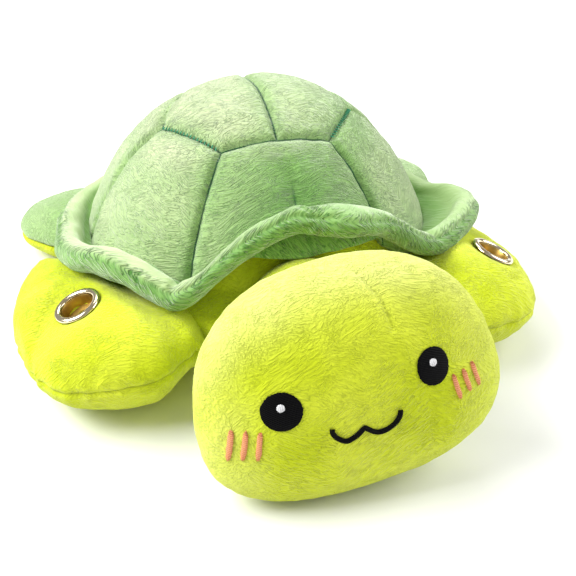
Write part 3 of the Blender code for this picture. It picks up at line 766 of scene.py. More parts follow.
@dataclass
class Piece:
    """One finished piece: what it is called, rides on, stands for and is made of."""

    name: str
    body: str
    finish: Finish
    slot: str
    stands_for: tuple[str, ...] = ()
    fill: Optional[float] = None
    levels: int = 1

    def make(self, bm: bmesh.types.BMesh, crease: float = 180.0) -> bpy.types.Object:
        """Turn a bmesh into the finished piece.

        Args:
            bm: Its form in world coordinates, used up here.
            crease: Angle in degrees above which an edge is sharp.

        Returns:
            The object, with its finish, body and nodes set.
        """
        bmesh.ops.recalc_face_normals(bm, faces=bm.faces)
        mesh = mesh_of(bm, self.name)
        mesh.shade_smooth()
        if crease < 180:
            mesh.set_sharp_from_angle(angle=radians(crease))
        return self.dress(placed(self.name, mesh))

    def dress(self, obj: bpy.types.Object) -> bpy.types.Object:
        """Give an object its material, subdivision and body, and hide the nodes that it stands for.

        Args:
            obj: The object, whose form is done apart from the subdivision.

        Returns:
            The same object.
        """
        obj.data.materials.append(self.finish.material())
        if self.levels:
            smooth = obj.modifiers.new("finer", "SUBSURF")
            smooth.levels = self.levels
            smooth.render_levels = self.levels
        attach(obj, self.body)
        if self.stands_for:
            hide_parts(*self.stands_for)
        LOG.info("%s: %d points on %s", self.name, len(getattr(obj.data, "vertices", ())), self.body)
        return obj


@dataclass
class Shell:
    """The domed shell: eight panels round a hexagonal top, in one filling.

    The lower edge is given by heading, as the share of the dome's height at which the panels end under the rim. The
    pale spans place a painted highlight, strongest high on the left, and leave painted shade near the seams and low on
    the front panel; they are heights, but for the span inside the panel, which is a distance from the seams.
    """

    half_width: float = 0.118
    half_length: float = 0.113
    height: float = 0.135
    centre_z: float = 0.0094
    top_half_length: float = 0.047
    top_half_width: float = 0.064
    top_edge_half: float = 0.035
    seam_depth: float = 0.0027
    seam_width: float = 0.0026
    thread_width: float = 0.0010
    bulge: float = 0.0028
    bulge_width: float = 0.02
    turn_in: float = 0.004
    loose: Waves = ((0.0011, 30, 3), (0.0006, 75, 5))
    puckers: Waves = ((0.0011, 150, 7),)
    pucker_reach: float = 0.009
    level_pucker: float = 0.0004
    level_scale: tuple[float, float, float] = (110, 110, 420)
    tuck_x: float = 0.0045
    tuck_top: float = 0.128
    tuck_low: float = 0.100
    tuck_grooves: Dips = ((0.0040, 0.010), (0.0018, 0.0020))
    tuck_thread: Dips = ((0.95, 0.0011),)
    thread_wear: Waves = ((0.5, 70, 77),)
    # Painted highlight on the dome: its share, how much more on the left, the heights over which that grows, the
    # distance from the seams over which it comes in, and its patches.
    pale: float = 0.61
    highlight_to_left: float = 6.0
    highlight_height: Span = (0.105, 0.125)
    highlight_inside: Span = (0, 0.014)
    highlight_patches: Waves = ((0.35, 40, 71),)
    # Painted shade low on the front panel: its middle, its width and the heights over which it fades.
    front_x: float = 0.008
    front_width: float = 0.050
    shade_front_height: Span = (0.131, 0.119)
    top_size: tuple[float, float] = (0.06, 0.1)
    skirt_size: tuple[float, float] = (0.095, 0.1)
    crowding: float = 0.8
    fill: float = 0.8
    quads: int = 60
    stitch_count: int = 17
    stitch_half_length: float = 0.0017
    stitch_half_width: float = 0.00045
    stitch_sink: float = 0.0012
    lower_edge: Table = (
        (-180, 0.20), (-90, 0.20), (-78, 0.20), (-68, 0.22), (-60, 0.28), (-46, 0.30), (-34, 0.33), (-22, 0.465),
        (-14, 0.52), (-8, 0.55), (0, 0.56), (8, 0.57), (15, 0.59), (22, 0.58), (29, 0.53), (36, 0.43),
        (42, 0.345), (50, 0.27), (58, 0.26), (70, 0.24), (90, 0.22), (180, 0.22))

    @property
    def centre(self) -> Vector:
        """The middle of the dome's ellipsoid."""
        return Vector((0, 0, self.centre_z))

    def radius(self, height: float, direction: Vector) -> float:
        """Distance from the axis to the dome at a height, in one direction."""
        level = sqrt(max(0.0, 1 - ((height - self.centre_z) / self.height) ** 2))
        return level / hypot(direction.x / self.half_width, direction.y / self.half_length)

    def normal(self, place: Vector) -> Vector:
        """The dome's outward direction at a place."""
        return Vector((place.x / self.half_width ** 2, place.y / self.half_length ** 2,
                       (place.z - self.centre_z) / self.height ** 2)).normalized()

    def onto(self, direction: Vector) -> Vector:
        """Where a ray from the centre meets the dome.

        Args:
            direction: The ray's direction.

        Returns:
            The point.
        """
        reach = sqrt((direction.x / self.half_width) ** 2 + (direction.y / self.half_length) ** 2
                     + (direction.z / self.height) ** 2)
        return self.centre + direction / reach

    def corners(self) -> list[Vector]:
        """The top's six corners, clockwise from the left side.

        Returns:
            Their points on the dome.
        """
        wide, edge, long = self.top_half_width, self.top_edge_half, self.top_half_length
        flat = ((-wide, 0), (-edge, long), (edge, long), (wide, 0), (edge, -long), (-edge, -long))
        found = []
        for x, y in flat:
            level = sqrt(1 - (x / self.half_width) ** 2 - (y / self.half_length) ** 2)
            found.append(Vector((x, y, self.centre_z + self.height * level)))
        return found

    def puffed(self, place: Vector, near: float) -> tuple[Vector, float]:
        """Draw the dome in at a panel's seams and at the front panel's tuck, and let it out between them.

        Args:
            place: A point of the plain dome.
            near: Its distance from the nearest seam.

        Returns:
            The moved point, and how near it is to a seam.
        """
        step = self.bulge * (1 - exp(-near / self.bulge_width)) - self.seam_depth * dip(near, self.seam_width)
        step += wrinkled(place, self.loose) + wrinkled(place, self.puckers) * exp(-near / self.pucker_reach)
        step += self.level_pucker * lengthen(place, self.level_scale, 9)
        seam = dip(near, self.thread_width)
        if place.y < 0:
            share = (self.tuck_top - place.z) / (self.tuck_top - self.tuck_low)
            off_tuck = place.x - self.tuck_x * max(0.0, share)
            tuck = smooth_step(share * 1.6) * smooth_step(3 - share * 1.4)
            step -= tuck * dips(off_tuck, self.tuck_grooves)
            seam = max(seam, tuck * dips(off_tuck, self.tuck_thread))
        return place + self.normal(place) * step, seam * min(1.0, 1 + wrinkled(place, self.thread_wear))

    def paled(self, place: Vector, near: float) -> float:
        """How far the colour is turned paler as a painted highlight: least at the seams and low on the front panel,
        left there as painted shade, most at the top's left.

        Args:
            place: A point of the plain dome.
            near: Its distance from the nearest seam.

        Returns:
            The share, from 0.
        """
        low = dip(place.x - self.front_x, self.front_width) * ramp(place.z, *self.shade_front_height)
        front = low if place.y < 0 else 0.0
        share = self.pale - self.highlight_to_left * place.x * ramp(place.z, *self.highlight_height)
        inside = 0.5 + 0.5 * ramp(near, *self.highlight_inside)
        return max(0.0, share * (1 - front) * inside * (1 + wrinkled(place, self.highlight_patches)))

    def panel(self, name: str, surface: Callable[[float, float], Vector], borders: Sequence[Vector],
              size: tuple[float, float], stands_for: tuple[str, ...]) -> None:
        """Make one panel from a grid, its edges turned in as a seam allowance.

        Args:
            name: The piece's name.
            surface: The panel's point at two shares from 0 to 1.
            borders: Unit normals of the planes through the dome's centre that bound it.
            size: Its width and height in metres, for its map.
            stands_for: The nodes that it replaces.
        """
        bm = sheet_of_quads(self.quads, self.quads)
        layer, painted_light_layer = number_layer(bm), number_layer(bm, PAINTED_LIGHT)
        laid = {}
        for vert in bm.verts:
            across, down = (crowded(share, self.crowding) for share in vert.co.xy)
            place = surface(across, down)
            near = min(abs((place - self.centre).dot(border)) for border in borders)
            # Each point's share of painted highlight.
            vert[painted_light_layer] = self.paled(place, near)
            vert.co, vert[layer] = self.puffed(place, near)
            laid[vert] = (across * size[0] + len(name), down * size[1])
        for vert in turned_in(bm):
            vert.co -= self.normal(vert.co) * self.turn_in
            vert[layer] = 1
            laid[vert] = (0.0, 0.0)
        chart(bm, laid)
        Piece(name, "torso", SHELL_PLUSH, "shell_plush", stands_for, self.fill).make(bm)

    def top(self, side: Side) -> None:
        """Make one half of the hexagonal top, from the middle seam to the side's three corners.

        Args:
            side: Which half.
        """
        corners = self.corners()
        order = (1, 0, 5) if side is Side.LEFT else (2, 3, 4)
        back, apex, front = (corners[index] - self.centre for index in order)
        middle_back = (corners[1] + corners[2]) / 2 - self.centre
        middle_front = (corners[4] + corners[5]) / 2 - self.centre

        def surface(u: float, v: float) -> Vector:
            """The half's point at a share out from the middle seam and a share back."""
            outer = front.lerp(apex, v * 2) if v < 0.5 else apex.lerp(back, v * 2 - 1)
            return self.onto(middle_front.lerp(middle_back, v).lerp(outer, u))
        borders = [back.cross(apex).normalized(), apex.cross(front).normalized(), Vector((1, 0, 0)),
                   back.cross(middle_back).normalized(), front.cross(middle_front).normalized()]
        stands_for = ("shell_top_" + side.word,) + (("shell_stuffing",) if side is Side.LEFT else ())
        self.panel("shell_top_plush_" + side.word, surface, borders, self.top_size, stands_for)

    def skirt(self, name: str, here: Vector, there: Vector) -> None:
        """Make one panel of the skirt, from the top's edge between two corners down under the rim.

        Args:
            name: The node that it replaces.
            here: The corner at which it starts.
            there: The next corner.
        """
        start, end = here - self.centre, there - self.centre
        borders = [start.cross(end).normalized(), Vector((here.y, -here.x, 0)).normalized(),
                   Vector((there.y, -there.x, 0)).normalized()]

        def surface(u: float, v: float) -> Vector:
            """A point of the panel.

            Args:
                u: The share along the top's edge.
                v: The share down.

            Returns:
                The point.
            """
            above = self.onto(start.lerp(end, u))
            direction = Vector((above.x, above.y, 0)).normalized()
            share = between(self.lower_edge, heading(direction))
            top = (above.z - self.centre_z) / self.height
            turn = atan2(sqrt(1 - top ** 2), top)
            base = atan2(sqrt(1 - share ** 2), share)
            level = self.centre_z + self.height * cos(turn + (base - turn) * v)
            return direction * self.radius(level, direction) + Vector((0, 0, level))
        self.panel(name + "_plush", surface, borders, self.skirt_size, (name,))

    def stitch_row(self, name: str, here: Vector, there: Vector) -> None:
        """Make the visible stitches that draw two panels together along a seam.

        Args:
            name: The row's name.
            here: The corner at which the seam starts.
            there: The corner at which it ends.
        """
        start, end = here - self.centre, there - self.centre
        across = start.cross(end).normalized()
        spots = []
        for index in range(self.stitch_count):
            place = self.onto(start.lerp(end, 0.04 + 0.92 * (index + 0.5) / self.stitch_count))
            up = self.normal(place)
            lean = 0.5 + 0.25 * wrinkle(place, 900, 11)
            spots.append((place, (across - across.cross(up) * lean).normalized(), up))
        bm = bmesh.new()
        stitches(bm, spots, self.stitch_half_length, self.stitch_half_width, self.stitch_sink)
        Piece(name, "torso", TEAL_THREAD, "shell_plush", levels=0).make(bm)

    def build(self) -> None:
        """Make the whole dome."""
        for side in Side:
            self.top(side)
        corners = self.corners()
        names = ("back_left", "back", "back_right", "front_right", "front", "front_left")
        for name, here, there in zip(names, corners, corners[1:] + corners[:1]):
            self.skirt("shell_" + name, here, there)
        self.stitch_row("shell_stitches_left", corners[0], corners[5])
        self.stitch_row("shell_stitches_right", corners[3], corners[4])


@dataclass(frozen=True)
class RimCut:
    """The rim cut through at one heading: all but the direction in (out, up)."""

    direction: Vector
    foot: Vector
    middle: Vector
    along: Vector
    across: Vector
    half_width: float
    half_height: float

    def world(self, flat: Vector) -> Vector:
        """From (out, up) to the world."""
        return self.direction * flat.x + Vector((0, 0, flat.y))


@dataclass
class Rim:
    """The padded rim: a thin web off the shell with a full roll along its edge, waved up and down.

    A row of the profile gives a heading, and in millimetres how far out and how high the roll's middle lies, its
    half width and half height, and how high the web leaves the dome. The fold is a groove along the roll, given by
    its turn round the section. The gather is where the roll is drawn together at the front. The pale spans and the
    flat span are distances above the fold, outer is a span of the turn's cosine. The pale spans lay a painted
    highlight on the roll's top, whose strength by heading is most at the left.
    """

    shell: Shell
    web: float = 0.0036
    gap: float = 0.0003
    stations: int = 420
    points: int = 44
    fold: float = 0.36
    fold_depth: float = 0.0013
    fold_width: float = 0.0016
    fold_thread: Dips = ((0.45, 0.0009),)
    outer: Span = (-0.5, 0.5)
    slant: float = 34
    map_radius: float = 0.12
    loose: Waves = ((0.0009, 38, 13), (0.0006, 105, 17))
    fuzz: Waves = ((0.0008, 230, 19),)
    fuzz_width: float = 0.004
    tucks: tuple[float, ...] = (-36.5, 46)
    tuck_depth: float = 0.0034
    tuck_width: float = 0.0024
    tuck_turn: Span = (-0.4, 0.6)
    tuck_puckers: Waves = ((0.0008, 300, 27),)
    tuck_pucker_width: float = 0.009
    gather: float = 4.5
    gather_turn: float = 0.25
    gather_depth: float = 0.0024
    gather_width: float = 0.0045
    ray_count: int = 9
    ray_height: float = 0.0009
    ray_radius: float = 0.008
    ray_width: float = 0.006
    fill: float = 0.7
    flat: Span = (0.0035, 0.0075)
    rough_width: float = 0.012
    # Painted highlight on the roll's top: where it comes in and fades above the fold, its patches, and its strength by
    # heading.
    highlight_above: Span = (-0.002, 0.004)
    highlight_below: Span = (0.020, 0.012)
    highlight_patches: Waves = ((0.3, 60, 73),)
    pale_top: Table = ((-180, 0.6), (-110, 0.8), (-75, 1.0), (-45, 0.9), (-25, 0.5), (0, 0.2), (28, 0.25),
                       (60, 0.55), (180, 0.6))
    profile: Profile = (
        (-180, 118, 44, 8.5, 8.5, 45), (-145, 119, 44, 8.5, 8.5, 45), (-128, 120.5, 44, 8.5, 8.5, 45),
        (-114, 126, 45, 8.5, 8.5, 45), (-100, 127, 50, 8.5, 8.5, 43.5), (-88, 128, 53, 9, 8.5, 44),
        (-78, 132, 58, 9, 9, 45), (-68, 131.5, 64, 9.5, 9.4, 50), (-60, 127.5, 69.5, 9.4, 9.4, 57),
        (-50, 124.5, 69.5, 9.2, 9.2, 62), (-43, 124.5, 66.5, 9, 9, 59), (-36, 125, 64, 9, 9, 57),
        (-31, 121, 68.5, 9, 9, 61), (-26, 114, 78.5, 8.8, 8.8, 71), (-18, 108.5, 92.5, 8.6, 8.6, 85),
        (-10, 104, 100, 8.3, 8.3, 92), (-2, 101, 104.5, 8.3, 8.3, 96), (4, 103, 103.5, 10, 8.3, 96.5),
        (13, 106.5, 101.5, 15.5, 9.3, 97), (22, 108, 97, 14, 9, 93), (29, 111, 90.5, 11.5, 9, 86),
        (36, 116, 79, 10, 8.8, 75), (42, 122, 69, 9.2, 8.8, 62), (50, 128, 63.5, 9, 8.8, 54),
        (58, 134, 63, 9, 8.8, 50), (66, 140, 62.5, 9, 8.8, 48.5), (74, 143, 60, 9.2, 8.8, 48),
        (82, 136, 57, 9, 8.5, 47.5), (89, 125, 51, 8.5, 8.5, 47), (110, 121, 45, 8.5, 8.5, 45),
        (145, 119, 44, 8.5, 8.5, 45), (180, 118, 44, 8.5, 8.5, 45))

    def section(self, angle: float) -> RimCut:
        """Cut the rim at a heading.

        Args:
            angle: The heading in degrees.

        Returns:
            The section.
        """
        direction = facing(angle)
        out, up, half_width, half_height, height = (column(self.profile, index, angle) for index in range(1, 6))
        leaves = self.shell.radius(height, direction)
        reach = 1 / hypot(direction.x / self.shell.half_width, direction.y / self.shell.half_length)
        slope = Vector((leaves / reach ** 2, (height - self.shell.centre_z) / self.shell.height ** 2)).normalized()
        foot = Vector((leaves, height)) + slope * self.gap
        middle = Vector((out, up))
        along = (middle - foot).normalized()
        return RimCut(direction, foot, middle, along, Vector((-along.y, along.x)), half_width, half_height)

    def plain(self, cut: RimCut, turn: float) -> tuple[Vector, Vector]:
        """The plain section: half a roll outside, and the web with the roll's other half inside.

        Args:
            cut: The rim's section.
            turn: Angle round it in radians, 0 at the outer edge and rising upwards.

        Returns:
            The point and its outward direction, both in (out, up).
        """
        if abs(turn) <= pi / 2:
            flat = cut.middle + cut.along * cut.half_width * cos(turn) + cut.across * cut.half_height * sin(turn)
            return flat, cut.along * cos(turn) + cut.across * sin(turn)
        reach = (cut.middle - cut.foot).length
        part = 2 - abs(turn) / (pi / 2)
        at = reach * part
        roll = cut.half_height * sqrt(max(0.0, 1 - ((at - reach) / cut.half_width) ** 2))
        thick = (roll ** 4 + (self.web * (1 - part ** 6)) ** 4) ** 0.25
        if at < self.web:
            thick *= max(0.0, 1 - (1 - at / self.web) ** 4) ** 0.25
        side = 1 if turn > 0 else -1
        return cut.foot + cut.along * at + cut.across * thick * side, cut.across * side

    def point(self, cut: RimCut, around: float, turn: float) -> tuple[Vector, float, float]:
        """A point of the rim's surface with its fold, tucks and gather.

        Args:
            cut: The rim's section there.
            around: Its heading in degrees.
            turn: Angle round the section in radians, 0 at the outer edge and rising upwards.

        Returns:
            The point, its distance from the fold round the section, and how flat its pile lies.
        """
        flat, outside = self.plain(cut, turn)
        place = cut.world(flat)
        off_fold = (turn - self.fold) * cut.half_height
        outer = ramp(cos(turn), *self.outer)
        step = wrinkled(place, self.loose) - self.fold_depth * dip(off_fold, self.fold_width) * outer
        step += wrinkled(place, self.fuzz) * dip(off_fold, self.fuzz_width) * outer
        for tuck in self.tucks:
            beside = radians(around - tuck) * flat.x
            step -= self.tuck_depth * dip(beside, self.tuck_width) * ramp(turn, *self.tuck_turn)
            step += wrinkled(place, self.tuck_puckers) * dip(beside, self.tuck_pucker_width)
        beside, above = radians(around - self.gather) * flat.x, (turn - self.gather_turn) * cut.half_height
        off = hypot(beside, above)
        rays = sin(self.ray_count * atan2(above, beside) + 1) * dip(off - self.ray_radius, self.ray_width)
        step += (self.ray_height * rays - self.gather_depth * dip(off, self.gather_width)) * outer
        flat_pile = ramp(off_fold, *self.flat) * (1 - dip(beside, self.rough_width))
        return place + cut.world(outside) * step, off_fold, flat_pile

    def build(self) -> None:
        """Make the rim with a map whose first axis slants off the fold, as the brushed pile does."""
        bm = sheet_of_quads(self.stations, self.points)
        layer, flat_layer, painted_light_layer = (number_layer(bm, name) for name in (SEAM, SMOOTHED, PAINTED_LIGHT))
        laid = {}
        lean = radians(self.slant)
        sections = {}
        for vert in bm.verts:
            around, turn = 360 * vert.co.x - 180, 2 * pi * vert.co.y - pi
            key = round(around, 4)
            if key not in sections:
                sections[key] = self.section(around)
            place, off_fold, vert[flat_layer] = self.point(sections[key], around, turn)
            # The roll's top is turned paler as a painted highlight.
            vert[painted_light_layer] = (between(self.pale_top, around) * ramp(off_fold, *self.highlight_above)
                                * ramp(off_fold, *self.highlight_below) * (1 + wrinkled(place, self.highlight_patches)))
            run, off = radians(around) * self.map_radius, abs(off_fold)
            laid[vert] = (run * cos(lean) + off * sin(lean), off * cos(lean) - run * sin(lean))
            vert.co, vert[layer] = place, dips(off_fold, self.fold_thread)
        chart(bm, laid)
        bmesh.ops.remove_doubles(bm, verts=bm.verts, dist=WELD)
        Piece("rim_plush", "torso", RIM_PLUSH, "rim_plush", ("shell_rim", "shell_rim_wadding"), self.fill).make(bm)


@dataclass
class RimUnderfold:
    """The rim's underside where it sags out below the roll across the front.

    A row of the profile gives a heading, and in millimetres how far out and how high the fold's middle lies, and
    its half width.
    """

    columns: int = 110
    rows: int = 24
    half_thickness: float = 0.0032
    droop: float = 46
    blunt: float = 6
    map_radius: float = 0.12
    map_lean: float = 0.7
    loose: Waves = ((0.0008, 120, 33),)
    profile: Profile = (
        (-22, 103.5, 84.5, 4), (-18, 102.5, 87.5, 5.5), (-10, 102, 90, 8.7), (0, 103, 90.5, 10), (8, 103.5, 91.5, 9.5),
        (13, 104, 91, 9), (20, 105.5, 89.5, 8), (25, 107.5, 87.5, 6), (29, 110, 85, 4))

    def build(self) -> None:
        """Make the fold as a thin closed pad."""
        bm = sheet_of_quads(self.columns, self.rows)
        laid = {}
        tilt = radians(self.droop)
        along, across = Vector((cos(tilt), -sin(tilt))), Vector((sin(tilt), cos(tilt)))
        first, last = self.profile[0][0], self.profile[-1][0]
        for vert in bm.verts:
            share, turn = vert.co.x, 2 * pi * vert.co.y
            around = first + (last - first) * share
            out, up, half = (column(self.profile, index, around) for index in (1, 2, 3))
            close = sqrt(max(0.0, 1 - abs(2 * share - 1) ** self.blunt))
            flat = Vector((out, up)) + (along * half * cos(turn) + across * self.half_thickness * sin(turn)) * close
            place = facing(around) * flat.x + Vector((0, 0, flat.y))
            place += Vector((0, 0, wrinkled(place, self.loose)))
            run, off = radians(around) * self.map_radius * self.map_lean, half * cos(turn) * self.map_lean
            laid[vert] = (run + off, off - run)
            vert.co = place
        chart(bm, laid)
        bmesh.ops.remove_doubles(bm, verts=bm.verts, dist=WELD)
        Piece("rim_underfold_plush", "torso", RIM_PLUSH, "rim_plush").make(bm)


@dataclass
class Trunk:
    """The low body under the shell, with its side seam and flat underside.

    It is drawn in under the shell over the heights of under_rim.
    """

    shell: Shell
    half_width: float = 0.1
    half_length: float = 0.112
    half_height: float = 0.044
    centre_y: float = -0.012
    squareness: float = 2.25
    middle_z: float = 0.043
    seam_z: float = 0.022
    seam_groove: Dips = ((0.0016, 0.0022),)
    seam_thread: Dips = ((0.7, 0.0012),)
    puckers: Waves = ((0.0009, 140, 23),)
    pucker_reach: float = 0.01
    loose: Waves = ((0.0012, 30, 29),)
    under_rim: Span = (0.045, 0.057)
    under_shell: float = 0.0055
    fill: float = 0.8

    def point(self, unit: Vector) -> Vector:
        """A squared ellipsoid's point for a unit sphere's.

        Args:
            unit: The unit sphere's point.

        Returns:
            The point.
        """
        power = 2 / self.squareness
        flat = hypot(unit.x, unit.y)
        spread = flat ** power
        x, y = (unit.x / flat, unit.y / flat) if flat > 0 else (0, 0)
        return Vector((self.half_width * spread * signed_power(x, power),
                       self.centre_y + self.half_length * spread * signed_power(y, power),
                       self.middle_z + self.half_height * signed_power(unit.z, power)))

    def build(self) -> None:
        """Make the body, kept inside the dome where it passes under the rim."""
        bm = sphere(112, 64, "Z")
        layer = number_layer(bm)
        for vert in bm.verts:
            place = self.point(vert.co.normalized())
            near = abs(place.z - self.seam_z)
            out = Vector((place.x, place.y - self.centre_y, 0)).normalized()
            step = wrinkled(place, self.puckers) * exp(-near / self.pucker_reach) + wrinkled(place, self.loose)
            place += out * (step - dips(near, self.seam_groove))
            direction = Vector((place.x, place.y, 0)).normalized()
            over = place.xy.length - self.shell.radius(place.z, direction) + self.under_shell
            if over > 0:
                place -= direction * over * ramp(place.z, *self.under_rim)
            place.z = max(0.0, place.z)
            vert.co, vert[layer] = place, dips(near, self.seam_thread)
        nodes = ("body_cover", "belly_panel", "body_stuffing")
        Piece("body_plush", "torso", LIME_PLUSH, "lime_plush", nodes, self.fill).make(bm)


@dataclass
class Neck:
    """The stuffed neck, round about the point on which the head nods and tilts."""

    y: float = -0.126
    z: float = 0.046
    radius: float = 0.0405
    loose: Waves = ((0.02, 60, 31),)
    fill: float = 0.7

    def build(self) -> None:
        """Make the neck."""
        bm = sphere(64, 40, "Y")
        for vert in bm.verts:
            place = vert.co.normalized() * self.radius
            vert.co = place * (1 + wrinkled(place, self.loose)) + Vector((0, self.y, self.z))
        nodes = ("neck_cover", "neck_stuffing")
        Piece("neck_plush", "neck", LIME_PLUSH, "lime_plush", nodes, self.fill).make(bm)


@dataclass(frozen=True)
class Patch:
    """A padded patch of satin stitch: its middle on the face, its size, its slant in degrees and its lift."""

    name: str
    x: float
    z: float
    half_width: float
    half_length: float
    lift: float
    finish: SatinStitch
    slot: str
    slant: float = 0


@dataclass
class Head:
    """The flat pillow of a head, tipped back and rolled, with its stitched face.

    The dart and the mouth are lines of (x, z) points, seen from the front. A cheek bar has an x, a z, a half length
    and a slant in degrees. The eyes' half widths are the left one's and the right one's. The spans of the ribs and
    of the paler pile run along the head's own axes; the paler pile is a painted highlight on the crown and the ends.
    """

    half_width: float = 0.0814
    half_height: float = 0.0619
    front_depth: float = 0.03
    back_depth: float = 0.0418
    y: float = -0.185
    z: float = 0.0605
    roundness: float = 0.81
    crown: float = 1.06
    widening: float = 0.13
    pitch: float = -25
    roll: float = -9.1
    dart: Table = ((0.0145, 0.056), (0.0192, 0.0475), (0.0233, 0.040), (0.0247, 0.025))
    seam_groove: Dips = ((0.0015, 0.0017),)
    dart_groove: Dips = ((0.0016, 0.0016), (0.0010, 0.006))
    thread: Dips = ((0.75, 0.001),)
    loose: Waves = ((0.0011, 33, 41), (0.0004, 85, 43))
    loose_y: Span = (0, 0.02)
    pucker: float = 0.0010
    pucker_scale: tuple[float, float, float] = (210, 40, 210)
    pucker_reach: float = 0.008
    rib_height: float = 0.00016
    rib_pitch: float = 0.0044
    rib_slope: float = 0.12
    rib_x: Span = (-0.02, 0.01)
    rib_y: Span = (0, -0.01)
    # Painted highlight: the spans over which the left end, the right end and the crown turn paler, and its patches.
    highlight_left: Span = (-0.045, -0.075)
    highlight_right: Span = (0.044, 0.074)
    highlight_crown: Span = (0.012, 0.052)
    highlight_crown_y: Span = (-0.03, -0.01)
    highlight_patches: Waves = ((0.3, 45, 71),)
    stitch_height: float = 0.0009
    stitch_fray: float = 0.0006
    eye_x: float = 0.0394
    eye_z: float = -0.0003
    eye_half_widths: tuple[float, float] = (0.0103, 0.0090)
    eye_half_height: float = 0.0100
    eye_lift: float = 0.0004
    glint_z: float = 0.0020
    glint_radius: float = 0.0020
    glint_lift: float = 0.0013
    mouth_radius: float = 0.00135
    mouth_sink: float = 0.35
    mouth_line: Table = (
        (-0.0178, -0.0158), (-0.0179, -0.0180), (-0.0160, -0.0214), (-0.0118, -0.0243), (-0.0068, -0.0229),
        (-0.0035, -0.0206), (-0.0017, -0.0197), (0.0003, -0.0215), (0.0039, -0.0240), (0.0087, -0.0243),
        (0.0143, -0.0222), (0.0173, -0.0190), (0.0179, -0.0168))
    cheek_half_width: float = 0.0014
    cheek_lift: float = 0.0003
    cheek_bars: Profile = (
        (-0.0674, -0.0126, 0.0080, -18), (-0.0607, -0.0141, 0.0076, -18), (-0.0538, -0.0156, 0.0074, -17),
        (0.0505, -0.0157, 0.0071, 8), (0.0570, -0.0147, 0.0064, 8), (0.0632, -0.0137, 0.0069, 9))
    fill: float = 0.85

    @property
    def matrix(self) -> Matrix:
        """From the head's own frame to the world."""
        tip = Matrix.Rotation(radians(self.roll), 4, "Y") @ Matrix.Rotation(radians(self.pitch), 4, "X")
        return Matrix.Translation((0, self.y, self.z)) @ tip

    def point(self, unit: Vector) -> Vector:
        """A point of the pillow in the head's frame.

        Args:
            unit: The unit sphere's point.

        Returns:
            The point.
        """
        flat = hypot(unit.x, unit.z)
        x, z = (unit.x / flat, unit.z / flat) if flat > 0 else (0, 0)
        spread = flat ** self.crown
        height = self.half_height * spread * signed_power(z, self.roundness)
        width = self.half_width * spread * signed_power(x, self.roundness)
        depth = self.front_depth if unit.y < 0 else self.back_depth
        return Vector((width * (1 - self.widening * height / self.half_height),
                       depth * signed_power(unit.y, self.crown), height))

    def swell(self, place: Vector) -> float:
        """How far the loose filling lets the plush out or in."""
        return wrinkled(place, self.loose) * ramp(abs(place.y), *self.loose_y)

    def outward(self, place: Vector) -> Vector:
        """The pillow's outward direction at a place in its own frame."""
        return Vector((place.x / self.half_width ** 2, place.y / self.back_depth ** 2,
                       place.z / self.half_height ** 2)).normalized()

    def face_point(self, x: float, z: float, lift: float) -> Vector:
        """A point over the face in the head's frame.

        Args:
            x: How far it is to the side.
            z: How high it is.
            lift: How far it stands out of the plush.

        Returns:
            The point.
        """
        wide = abs(x / (self.half_width * (1 - self.widening * z / self.half_height))) ** (2 / self.roundness)
        high = abs(z / self.half_height) ** (2 / self.roundness)
        flat = (wide + high) ** (self.roundness / 2 / self.crown)
        place = Vector((x, -self.front_depth * sqrt(max(0.0, 1 - flat ** 2)) ** self.crown, z))
        return place + self.outward(place) * self.swell(place) - Vector((0, lift, 0))

    def off_dart(self, place: Vector) -> float:
        """Distance from the forehead dart, seen from the front.

        Args:
            place: A point in the head's frame.

        Returns:
            The distance, or 1 behind the seam.
        """
        best = 1.0
        for (ax, az), (bx, bz) in zip(self.dart, self.dart[1:]):
            start, end = Vector((ax, az)), Vector((bx, bz))
            here = Vector((place.x, place.z))
            share = max(0.0, min(1.0, (here - start).dot(end - start) / (end - start).length_squared))
            best = min(best, (here - start.lerp(end, share)).length)
        return best if place.y < 0 else 1.0

    def sewn(self, place: Vector) -> tuple[Vector, float]:
        """Draw the pillow in at its seam and its dart, and lay faint ribs across the right of the face.

        Args:
            place: A point of the plain pillow.

        Returns:
            The moved point, and how near it is to a seam.
        """
        near, dart = abs(place.y), self.off_dart(place)
        step = self.swell(place) - dips(near, self.seam_groove) - dips(dart, self.dart_groove)
        step += self.pucker * lengthen(place, self.pucker_scale, 37) * exp(-near / self.pucker_reach)
        ribbed = self.rib_height * ramp(place.x, *self.rib_x) * ramp(place.y, *self.rib_y)
        step += ribbed * sin(2 * pi * (place.z + self.rib_slope * place.x) / self.rib_pitch)
        return place + self.outward(place) * step, dips(near, self.thread) + dips(dart, self.thread)

    def paled(self, place: Vector) -> float:
        """How far the colour is turned paler as a painted highlight: at the crown and at the head's ends, more at the
        left one.

        Args:
            place: A point of the plain pillow.

        Returns:
            The share, up to 1.
        """
        ends = ramp(place.x, *self.highlight_left) + 0.5 * ramp(place.x, *self.highlight_right)
        crown = ramp(place.z, *self.highlight_crown) * ramp(place.y, *self.highlight_crown_y)
        return min(1.0, crown + 0.5 * ends + wrinkled(place, self.highlight_patches) * (crown + ends))

    def pillow(self) -> None:
        """Make the head without its face."""
        matrix = self.matrix
        bm = sphere(180, 110, "Y")
        layer, painted_light_layer = number_layer(bm), number_layer(bm, PAINTED_LIGHT)
        for vert in bm.verts:
            plain = self.point(vert.co.normalized())
            place, vert[layer] = self.sewn(plain)
            world = matrix @ place
            world.z = max(0.0, world.z)
            # Each point's share of painted highlight.
            vert.co, vert[painted_light_layer] = world, self.paled(plain)
        nodes = ("head_face", "head_back", "head_stuffing")
        Piece("head_plush", "head", LIME_PLUSH, "lime_plush", nodes, self.fill).make(bm)

